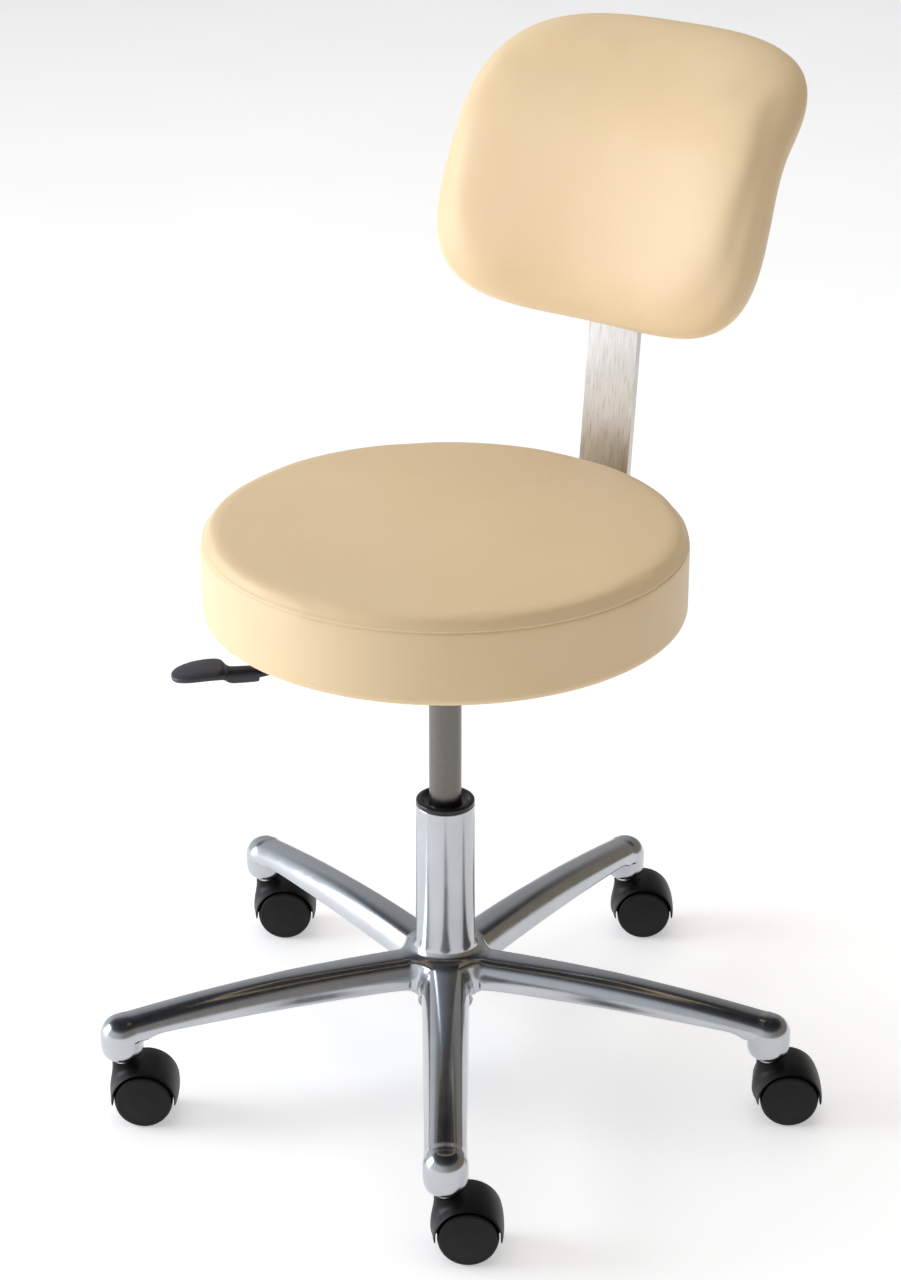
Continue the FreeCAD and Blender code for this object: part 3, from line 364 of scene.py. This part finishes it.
def rounded(corners, steps=4):
    """An outline whose corners (x, y, radius) become arcs; closed."""
    out = []
    count = len(corners)
    for i, (x, y, radius) in enumerate(corners):
        here = Vector((x, y))
        if radius <= 0:
            out.append((x, y))
            continue
        back = Vector(corners[i - 1][:2]) - here
        ahead = Vector(corners[(i + 1) % count][:2]) - here
        turn = back.angle(ahead)
        reach = min(radius / math.tan(turn / 2), back.length * 0.49, ahead.length * 0.49)
        start = here + back.normalized() * reach
        end = here + ahead.normalized() * reach
        for k in range(steps + 1):
            t = k / steps
            point = start.lerp(here, t).lerp(here.lerp(end, t), t)
            out.append((point.x, point.y))
    return out


def lathe(name, outline, finish, place=Matrix.Identity(4)):
    """A turned solid: a closed outline of (radius, height) in millimetres, revolved about Z, then placed."""
    segments = 96
    verts, faces, rings = [], [], []
    for radius, height in outline:
        if radius < 1e-6:
            rings.append([len(verts)] * segments)
            verts.append(place @ Vector((0, 0, height * MM)))
            continue
        ring = []
        for k in range(segments):
            angle = math.tau * k / segments
            ring.append(len(verts))
            verts.append(place @ (Vector((radius * math.cos(angle), radius * math.sin(angle), height)) * MM))
        rings.append(ring)
    for a, b in zip(rings, rings[1:] + rings[:1]):
        for k in range(segments):
            m = (k + 1) % segments
            quad = [a[k], a[m], b[m], b[k]]
            face = [q for i, q in enumerate(quad) if q not in quad[:i]]
            if len(face) > 2:
                faces.append(face)
    return skin(name, verts, faces, finish, math.radians(40))


# ---------------------------------------------------------------- smooth solids from a distance field

def smooth_min(a, b, reach):
    """Two solids joined, with the corner between them filled over this reach."""
    gap = np.maximum(reach - np.abs(a - b), 0) / reach
    return np.minimum(a, b) - gap * gap * reach / 4


def smooth_max(a, b, reach):
    """What two solids share, with the edge between them rounded over this reach."""
    return -smooth_min(-a, -b, reach)


def slope_of(field, points):
    step = 0.05
    out = np.empty_like(points)
    for axis in range(3):
        ahead, behind = points.copy(), points.copy()
        ahead[:, axis] += step
        behind[:, axis] -= step
        out[:, axis] = (field(ahead) - field(behind)) / (2 * step)
    return out


def settle(field, points, rounds):
    """Move points onto the field's surface along its slope."""
    least_slope, longest_step = 0.2, 1.5
    for _ in range(rounds):
        slope = slope_of(field, points)
        size = np.maximum((slope ** 2).sum(1), least_slope ** 2)
        step = np.clip(field(points) / size, -longest_step, longest_step)
        points = points - slope * step[:, None]
    return points


def relax(points, ends):
    """Move each point halfway to the mean of those that a mesh's edges join it to."""
    total = np.zeros_like(points)
    count = np.zeros(len(points))
    for a, b in ((0, 1), (1, 0)):
        np.add.at(total, ends[:, a], points[ends[:, b]])
        np.add.at(count, ends[:, a], 1)
    return points + 0.5 * (total / np.maximum(count, 1)[:, None] - points)


def remeshed(obj, voxel):
    """The object's surface rebuilt from even quads."""
    change = obj.modifiers.new("remesh", "REMESH")
    change.mode = "VOXEL"
    change.voxel_size = voxel
    graph = bpy.context.evaluated_depsgraph_get()
    mesh = bpy.data.meshes.new_from_object(obj.evaluated_get(graph))
    obj.modifiers.remove(change)
    return mesh


def field_solid(name, start, field, voxel, finish, to_local=Matrix.Identity(4)):
    """A solid cast from a distance field in millimetres, starting from a rough mesh of the same shape."""
    mesh = remeshed(start, voxel)
    mesh.transform(to_local)
    ends = edge_ends(mesh)
    points = settle(field, coordinates(mesh) / MM, 3)
    for _ in range(4):
        points = settle(field, relax(points, ends), 2)
    slope = slope_of(field, points)
    normals = slope / np.maximum(np.linalg.norm(slope, axis=1), 1e-9)[:, None]
    move_points(mesh, points * MM)
    obj = mesh_object(name, mesh, finish)
    mesh.normals_split_custom_set_from_vertices([tuple(n) for n in normals])
    return obj


# ---------------------------------------------------------------- base

STEM_CIRCLE = 292.0
STEM_HOLE = 5.56
COLUMN_RADIUS, COLUMN_TOP = 25.75, 256.5
HUB_LOW, HUB_WIDENS, HUB_TOP, STAR_TOP = 57, 89, 112.5, 114.2
HUB_NECK, HUB_FLARE = 21.2, 14.0
SLEEVE_LOW, SLEEVE_FLOOR = 62, 68
SLEEVE_BORE, LOWER_BORE, ROD_BORE = 19, 15, 5.2


def leg_field(x, y, z):
    """Distance from one leg, along +X: steep flanks, a gently rounded top, hollow beneath, a ball nose."""
    root, root_half, taper = 44, 22.3, 3.7
    crown, crown_from, droop = 114, 60, 18
    belly, belly_from, belly_drop, belly_rise = 88.5, 100, 6.5, 4
    waist, wall, hollow_from, hollow_to = 66.0, 4.2, 62, 267
    nose, nose_middle, nose_tall, nose_low = 18.5, 77, 19.8, 57.0
    side = np.abs(y)
    half = root_half - taper * (x - root) / (STEM_CIRCLE - root)
    top = crown - droop * (np.maximum(x - crown_from, 0) / (STEM_CIRCLE - crown_from)) ** 2
    under = belly - belly_drop * (np.clip(x - belly_from, 0, 400) / (STEM_CIRCLE - belly_from)) ** 2
    under = under - belly_rise * (np.maximum(72 - x, 0) / 56) ** 2
    under = under - belly_rise * (np.clip(x - 258, 0, 15) / 15) ** 2
    tall = top - waist
    across = np.sqrt(y * y + 0.25)
    section = ((across / half) ** 3 + (np.maximum(z - waist, 0) / tall) ** 3) ** (1 / 3)
    section = (section - 1) * half * tall / np.sqrt(half ** 2 * 0.5 + tall ** 2 * 0.5)
    section = smooth_max(section, side - half + 0.4, 3.0)
    hollow = smooth_max(smooth_max(section + wall, hollow_from - x, 3.0), x - hollow_to, 4.0)
    solid = smooth_max(smooth_max(section, under - z, 2.5), x - STEM_CIRCLE, 3.0)
    solid = smooth_max(solid, -hollow, 1.6)
    solid = smooth_max(solid, 10 - x, 1.0)
    around = np.sqrt((x - STEM_CIRCLE) ** 2 + y ** 2)
    power = 3.1 - 0.7 * np.tanh((z - nose_middle - 1) / 8)
    ball = ((around / nose) ** power + (np.abs(z - nose_middle) / nose_tall) ** power) ** (1 / power)
    ball = smooth_max((ball - 1) * nose, nose_low - z, 2.0)
    return smooth_min(solid, ball, 2.0)


def base_field(points):
    """Distance from the casting: five legs round a hub, the column sleeve, its bores and the stem holes."""
    x, y, z = points.T
    radius = np.sqrt(x ** 2 + y ** 2)
    angle = np.arctan2(y, x) - FIRST_LEG
    rest = angle - np.round(angle / LEG_STEP) * LEG_STEP
    along, beside = radius * np.cos(rest), radius * np.sin(rest)
    other = rest - np.where(rest >= 0, 1, -1) * LEG_STEP
    second = leg_field(radius * np.cos(other), radius * np.sin(other), z)
    legs = smooth_min(leg_field(along, beside, z), second, 16.0)
    rising = np.clip((z - HUB_WIDENS) / 8, 0, 1)
    hub = smooth_max(radius - (HUB_NECK + HUB_FLARE * rising), z - HUB_TOP, 6.0)
    hub = smooth_max(hub, HUB_LOW - z, 2.0)
    column = smooth_max(radius - COLUMN_RADIUS, z - COLUMN_TOP, 1.5)
    column = smooth_max(column, SLEEVE_LOW - z, 1.0)
    star = smooth_max(smooth_min(legs, hub, 7.0), z - STAR_TOP, 4.0)
    solid = smooth_min(star, column, 10.0)
    solid = smooth_max(solid, -smooth_max(radius - SLEEVE_BORE, SLEEVE_FLOOR - z, 1.0), 1.0)
    solid = smooth_max(solid, -smooth_max(radius - LOWER_BORE, z - SLEEVE_LOW, 1.0), 1.0)
    solid = smooth_max(solid, ROD_BORE - radius, 0.8)
    stem = np.sqrt((along - STEM_CIRCLE) ** 2 + beside ** 2)
    socket = smooth_max(stem - STEM_HOLE, z - 88, 1.0)
    return smooth_max(solid, -socket, 0.8)


def build_base(finishes):
    voxel = 0.0019
    base = field_solid("base_polished_casting", NODES["base_casting"], base_field, voxel,
                       finishes["polished_aluminium"])
    stands_for(base, "base", "polished_aluminium", "base_casting")
    bore, spigot, flange = 14.05, 18.97, 25.4
    outline = [(bore, 205, 0.5), (spigot, 205, 0.8), (spigot, 256.6, 0), (flange, 256.6, 0.3),
               (flange, 260.4, 1.6), (21.5, 260.8, 1.2), (18.6, 258.2, 1.4), (bore, 257.6, 0.5)]
    ring = lathe("column_guide_bushing", rounded(outline), finishes["bushing_plastic"])
    stands_for(ring, "base", "bushing_plastic", "column_bushing")


# ---------------------------------------------------------------- casters

TRAIL_TURN = math.radians(36)     # the way that all five casters trail
TRAIL = 18.0
WHEEL_RADIUS, WHEEL_ROOM = 25.0, 26.4
HOOD_CROWN, HOOD_HALF, HOOD_LOW = 29.2, 24.6, 20.5
WEB_RADIUS, WEB_HALF = 19, 7.4
NECK_RADIUS, NECK_TOP, STEM_LOW = 9.6, 54.5, 33.8
AXLE_HOLE = 3.02


def hood_field(points):
    """Distance from a caster's hood, in the caster's own frame: +X trails, +Y along the axle."""
    x, y, z = points.T
    side = np.abs(y)
    spoke = np.sqrt((x - TRAIL) ** 2 + (z - WHEEL_RADIUS) ** 2)
    post = np.sqrt(x ** 2 + y ** 2)
    crown = HOOD_CROWN - 2.0 * (side / HOOD_HALF) ** 2.4
    barrel = smooth_max(spoke - crown, side - HOOD_HALF, 3.5)
    room = smooth_max(spoke - WHEEL_ROOM, WEB_HALF - side, 1.2)
    shell = smooth_max(barrel, HOOD_LOW - z, 2.0)
    neck = smooth_max(post - NECK_RADIUS, z - NECK_TOP, 1.6)
    neck = smooth_max(neck, WHEEL_RADIUS - z, 1.0)
    solid = smooth_max(smooth_min(shell, neck, 8.0), -room, 1.2)
    web = smooth_max(spoke - WEB_RADIUS, side - WEB_HALF, 1.5)
    solid = smooth_min(solid, web, 2.0)
    stem = smooth_max(post - STEM_HOLE, STEM_LOW - z, 0.8)
    axle = np.maximum(spoke - AXLE_HOLE, side - 30)
    return smooth_max(smooth_max(solid, -stem, 0.8), -axle, 0.4)


def caster_matrix(k):
    """Places a caster's own frame at the end of leg k."""
    angle = FIRST_LEG + LEG_STEP * k
    stem = Vector((math.cos(angle), math.sin(angle), 0)) * STEM_CIRCLE * MM
    return Matrix.Translation(stem) @ Matrix.Rotation(TRAIL_TURN, 4, "Z")


def wheel_outline():
    """Wheel section from the inner face out: crowned tread, a shallow step and a closed domed hub cap."""
    bore = 3.05
    inner = [(bore, 8.0, 0.3), (11.0, 8.0, 0.6), (12.5, 10.0, 0.8), (21.5, 10.0, 0.8), (22.5, 8.2, 0.6)]
    tread = [(24.2, 8.2, 1.0), (WHEEL_RADIUS, 12.0, 2.0), (WHEEL_RADIUS, 20.0, 2.5), (23.8, 23.6, 2.2)]
    cap = [(21.2, 24.4, 0.6), (20.4, 24.3, 0.5), (9.0, 26.2, 6.0), (0, 26.6, 0)]
    return rounded(inner + tread + cap + [(0, 22.6, 0), (bore, 22.6, 0)], 5)


def build_casters(nylon):
    voxel = 0.0010
    first = field_solid("caster_hood_shell_1", NODES["caster_hood_1"], hood_field, voxel, nylon,
                        caster_matrix(0).inverted())
    master = first.data.copy()
    for k in range(LEG_COUNT):
        number = k + 1
        if k == 0:
            cover = first
        else:
            cover = bpy.data.objects.new("caster_hood_shell_%d" % number, master.copy())
            bpy.context.scene.collection.objects.link(cover)
        cover.data.transform(caster_matrix(k))
        stands_for(cover, "caster_%d" % number, "caster_nylon", "caster_hood_%d" % number)
        centre = caster_matrix(k) @ Matrix.Translation((TRAIL * MM, 0, WHEEL_RADIUS * MM))
        for side, name in ((1, "left"), (-1, "right")):
            place = centre @ Matrix.Rotation(math.radians(-90 * side), 4, "X")
            tyre = lathe("caster_wheel_%s_%d" % (name, number), wheel_outline(), nylon, place)
            wheel = "wheel_%s_%d" % (name, number)
            stands_for(tyre, wheel, "caster_nylon", wheel)


# ---------------------------------------------------------------- cushions

CLOTH_VOXEL, CLOTH_PRESSURE, CLOTH_FRAMES = 0.0055, 4.0, 20
UNEVENNESS = 0.0022


def simulate(obj, cap):
    mesh = remeshed(obj, CLOTH_VOXEL)
    pad = bpy.data.objects.new(obj.name + "_cloth", mesh)
    bpy.context.scene.collection.objects.link(pad)
    before = coordinates(mesh)
    cloth = pad.modifiers.new("cloth", "CLOTH")
    cloth.settings.use_pressure = True
    cloth.settings.uniform_pressure_force = CLOTH_PRESSURE
    cloth.settings.effector_weights.gravity = 0
    cloth.settings.quality = 5
    cloth.point_cache.frame_start = 1
    cloth.point_cache.frame_end = CLOTH_FRAMES
    for number in range(1, CLOTH_FRAMES + 1):
        bpy.context.scene.frame_set(number)
    shift = coordinates(pad.evaluated_get(bpy.context.evaluated_depsgraph_get()).data) - before
    pad.modifiers.remove(cloth)
    bpy.context.scene.frame_set(1)
    size = np.linalg.norm(shift, axis=1)
    shift *= (np.minimum(size, cap) / np.maximum(size, 1e-9))[:, None]
    ends = edge_ends(mesh)
    for _ in range(6):
        shift = relax(shift, ends)
    move_points(mesh, before + shift)
    tree = BVHTree.FromObject(pad, bpy.context.evaluated_depsgraph_get())
    bpy.data.objects.remove(pad)
    return tree


def drape(obj, free, tree):
    """The cushion's points with the simulated cover's unevenness where it is free, at the same size."""
    points = coordinates(obj.data)
    if tree is None:
        return points
    normals = np.empty(points.size)
    obj.data.vertices.foreach_get("normal", normals)
    normals = normals.reshape(-1, 3)
    reach = 0.015
    amount = np.zeros(len(points))
    for i, (point, normal) in enumerate(zip(points, normals)):
        way = Vector(normal)
        hit = tree.ray_cast(Vector(point) - way * reach, way, 2 * reach)[0]
        if hit is not None:
            amount[i] = (hit - Vector(point)).dot(way)
    amount = np.clip(amount - np.median(amount[free > 0.9]), -UNEVENNESS, UNEVENNESS) * free
    ends = edge_ends(obj.data)
    for _ in range(8):
        amount = relax(amount[:, None], ends)[:, 0]
    return points + normals * amount[:, None]


def finish_cushion(obj, points, body, fill, *nodes):
    move_points(obj.data, points)
    finer = obj.modifiers.new("finer", "SUBSURF")
    finer.levels = 1
    finer.render_levels = 1
    stands_for(obj, body, "vinyl", *nodes)


def ring_mesh(name, rings, finish):
    """A closed skin through rings of points; the first and last rings close onto single points."""
    verts = [tuple(rings[0].mean(0))]
    faces = []
    count = len(rings[0])
    for ring in rings:
        verts += [tuple(p) for p in ring]
    verts.append(tuple(rings[-1].mean(0)))
    for k in range(count):
        faces.append((0, 1 + k, 1 + (k + 1) % count))
    for i in range(len(rings) - 1):
        a, b = 1 + i * count, 1 + (i + 1) * count
        for k in range(count):
            m = (k + 1) % count
            faces.append((a + k, b + k, b + m, a + m))
    last = 1 + (len(rings) - 1) * count
    for k in range(count):
        faces.append((len(verts) - 1, last + (k + 1) % count, last + k))
    return skin(name, verts, faces, finish, math.pi)


# ---------------------------------------------------------------- seat

SEAT_RADIUS, SEAT_LOW, SEAT_HIGH = 202.8, 441.8, 515.4
SEAM_HEIGHT = 505.0
HEM_RADIUS = 183.2


def seat_profile(deflate=0.0):
    """Radius and height down the seat's section, from the crown's centre to the hem under the rim."""
    shoulder, low_edge, crown = 20.0, 7.0, 1.2
    out = []
    outer = SEAT_RADIUS - deflate
    high = SEAT_HIGH - deflate
    flat = outer - shoulder
    drop = high - crown - SEAM_HEIGHT
    for t in np.linspace(0.02, 1, 30):
        out.append((flat * t, high - crown * t ** 2.5))
    for t in np.linspace(0, 1, 25)[1:]:
        angle = t * math.pi / 2
        out.append((flat + shoulder * math.sin(angle), high - crown - drop * (1 - math.cos(angle))))
    start, end = SEAM_HEIGHT, SEAT_LOW + low_edge
    for t in np.linspace(0, 1, 40)[1:]:
        out.append((outer, start + (end - start) * t ** 1.3))
    for t in np.linspace(0, 1, 8)[1:]:
        angle = t * math.pi / 2
        out.append((outer - low_edge * (1 - math.cos(angle)), end - low_edge * math.sin(angle)))
    for t in np.linspace(0, 1, 5)[1:]:
        out.append((outer - low_edge + (HEM_RADIUS - outer + low_edge) * t, SEAT_LOW))
    return out


def seat_rings(profile, segments):
    angles = np.arange(segments) * math.tau / segments
    level = np.ones(segments)
    return [np.stack([r * np.cos(angles), r * np.sin(angles), z * level], 1) * MM for r, z in profile]


def build_seat(vinyl):
    start = ring_mesh("seat_start", seat_rings(seat_profile(deflate=4.0), 96), vinyl)
    tree = simulate(start, cap=0.0042)
    bpy.data.objects.remove(start)
    inside = [(HEM_RADIUS, SEAT_LOW + 1.3), (HEM_RADIUS - 5, SEAT_LOW + 6), (HEM_RADIUS - 40, SEAT_LOW + 8)]
    segments = 240
    seat = ring_mesh("seat_upholstery", seat_rings(seat_profile() + inside, segments), vinyl)
    free = np.clip((coordinates(seat.data)[:, 2] - (SEAT_LOW + 6) * MM) / 0.012, 0, 1)
    points = drape(seat, free, tree)
    add_seam(points)
    finish_cushion(seat, points, "seat", 0.85, "seat_cover", "seat_foam")


def add_seam(points):
    """Pull the side of the seat in along a narrow groove where the top panel is sewn on."""
    depth, width, side_from = 0.9 * MM, 0.8, 0.19
    radius = np.hypot(points[:, 0], points[:, 1])
    groove = np.exp(-((points[:, 2] / MM - SEAM_HEIGHT) / width) ** 2) * (radius > side_from)
    points[:, :2] *= (1 - depth * groove / np.maximum(radius, 0.01))[:, None]


# ---------------------------------------------------------------- backrest

PAD_Y, PAD_Z = 256.0, 768.6
PAD_WRAP = 516.8
PAD_HALF_WIDE, PAD_HALF_TALL = 162.8, 142.2
PAD_FRONT, PAD_BACK = 28.25, 29.8
PAD_POWER, PAD_TAPER = 3.64, 0.14
PAD_STEPS = 40


def pad_lean(v):
    """Lean back from upright, in radians, from the bottom (-1) to the top (1): a bend above the middle."""
    mean, bend, bend_at, bend_over, bow = 35.93, 16.02, 0.215, 0.182, 3.0
    return np.radians(mean + bend * np.tanh((v - bend_at) / bend_over) + bow * v)


def pad_points(u, v, depth):
    """A point of the backrest: across, up, and a distance behind its middle surface, in metres."""
    steps = np.linspace(-1, 1, 401)
    lean = pad_lean(steps)
    rise = np.concatenate([[0], np.cumsum((np.cos(lean[1:]) + np.cos(lean[:-1])) / 2 * np.diff(steps))])
    back = np.concatenate([[0], np.cumsum((np.sin(lean[1:]) + np.sin(lean[:-1])) / 2 * np.diff(steps))])
    rise = (rise - np.interp(0, steps, rise)) * PAD_HALF_TALL
    back = (back - np.interp(0, steps, back)) * PAD_HALF_TALL
    here = pad_lean(v)
    behind = np.interp(v, steps, back) + depth * np.cos(here)
    up = np.interp(v, steps, rise) - depth * np.sin(here)
    angle = u * PAD_HALF_WIDE * (1 - PAD_TAPER * v) / PAD_WRAP
    reach = PAD_WRAP + behind
    return np.stack([reach * np.sin(angle), PAD_Y - PAD_WRAP + reach * np.cos(angle), PAD_Z + up], 1) * MM


def pad_ring(rho, side, segments, less):
    """One ring over the front (-1), which is softly domed, or over the back (1), which is flatter."""
    angle = np.arange(segments) * math.tau / segments
    reach = (np.abs(np.cos(angle)) ** PAD_POWER + np.abs(np.sin(angle)) ** PAD_POWER) ** (-1 / PAD_POWER)
    u = rho * reach * np.cos(angle)
    v = rho * reach * np.sin(angle)
    half, fall = ((PAD_FRONT, 5.57), (PAD_BACK, 11.0))[side > 0]
    depth = side * (half - less) * max(1 - rho ** fall, 0) ** 0.52
    return pad_points(u, v, np.full(segments, depth))


def pad_rings(segments, less=0.0, inset=0.0, steps=PAD_STEPS):
    """Rings over the front from its centre to the rim, then over the back to its centre."""
    turn = np.linspace(0.03, 1, steps)
    rho = 1 - (1 - turn) ** 2.2
    front = [pad_ring(r * (1 - inset), -1, segments, less) for r in rho]
    back = [pad_ring(r * (1 - inset), 1, segments, less) for r in rho[::-1][1:]]
    return front + back


def build_backrest(vinyl):
    start = ring_mesh("backrest_start", pad_rings(96, less=4.0, inset=0.02, steps=24), vinyl)
    tree = simulate(start, cap=0.005)
    bpy.data.objects.remove(start)
    segments = 200
    pad = ring_mesh("backrest_upholstery", pad_rings(segments), vinyl)
    front = np.arange(len(pad.data.vertices)) < PAD_STEPS * segments
    points = drape(pad, front.astype(float), tree)
    finish_cushion(pad, points, "backrest", 0.9, "backrest_cover", "backrest_foam")


# ---------------------------------------------------------------- lever

def build_lever(finish):
    """The moulded paddle: a narrow wrist over the rod, stepping up and out to a flat rounded blade."""
    azimuth = math.radians(225)
    # reach, half width, half thickness, height of the centre
    stations = [(158.0, 6.8, 5.0, 390.2), (158.8, 7.8, 5.8, 390.2), (170.0, 8.2, 6.0, 390.2),
                (181.0, 8.4, 6.0, 390.3), (184.5, 10.0, 5.6, 391.8), (188.0, 15.0, 5.0, 395.6),
                (193.0, 17.6, 4.6, 396.4), (203.0, 18.0, 4.4, 396.2), (213.0, 17.6, 4.0, 395.2),
                (221.0, 15.6, 3.5, 394.0), (227.0, 12.0, 2.9, 393.0), (230.2, 7.0, 2.2, 392.5),
                (231.0, 3.0, 1.2, 392.4)]
    reach, half, thick, height = np.array(stations).T
    ring_count, window = 97, 7
    fine = np.linspace(0, len(stations) - 1, ring_count)
    index = np.arange(len(stations))
    rows = []
    for column in (reach, half, thick, height):
        padded = np.pad(np.interp(fine, index, column), window // 2, mode="reflect", reflect_type="odd")
        rows.append(np.convolve(padded, np.ones(window) / window, mode="valid"))
    count = 40
    angle = np.arange(count) * math.tau / count
    power = 2 / 3.2
    across = np.sign(np.cos(angle)) * np.abs(np.cos(angle)) ** power
    up = np.sign(np.sin(angle)) * np.abs(np.sin(angle)) ** power
    rings = []
    for far, wide, deep, level in zip(*rows):
        rings.append(np.stack([np.full(count, far), wide * across, level + deep * up], 1) * MM)
    lever = ring_mesh("lever_moulded_paddle", rings, finish)
    lever.data.transform(Matrix.Rotation(azimuth, 4, "Z"))
    stands_for(lever, "height_lever", "lever_plastic", "lever_paddle")


# ---------------------------------------------------------------- carried-over CAD pieces

def finish_cad(finishes):
    """Give every CAD node the material of its slot in the record."""
    for part in frame["record"]["subparts"]:
        mesh = NODES[part["node"]].data
        mesh.materials.clear()
        mesh.materials.append(finishes[part["material_slot"]])


def build():
    make_camera()
    make_world()
    make_floor()
    area_light("key", (-2.3, -1.5, 1.0), (0, 0, 0.45), 1.4, 1.8, 52, (0.97, 1.0, 1.06))
    above = area_light("above", (-0.6, 0.6, 4.5), (0, 0.4, 0), 6.0, 6.0, 140, (1.0, 0.98, 0.95))
    above.visible_glossy = False
    finishes = make_finishes()
    build_base(finishes)
    build_casters(finishes["caster_nylon"])
    build_seat(finishes["vinyl"])
    build_backrest(finishes["vinyl"])
    build_lever(finishes["lever_plastic"])
    finish_cad(finishes)
    bpy.context.scene.view_settings.view_transform = "Standard"


build()
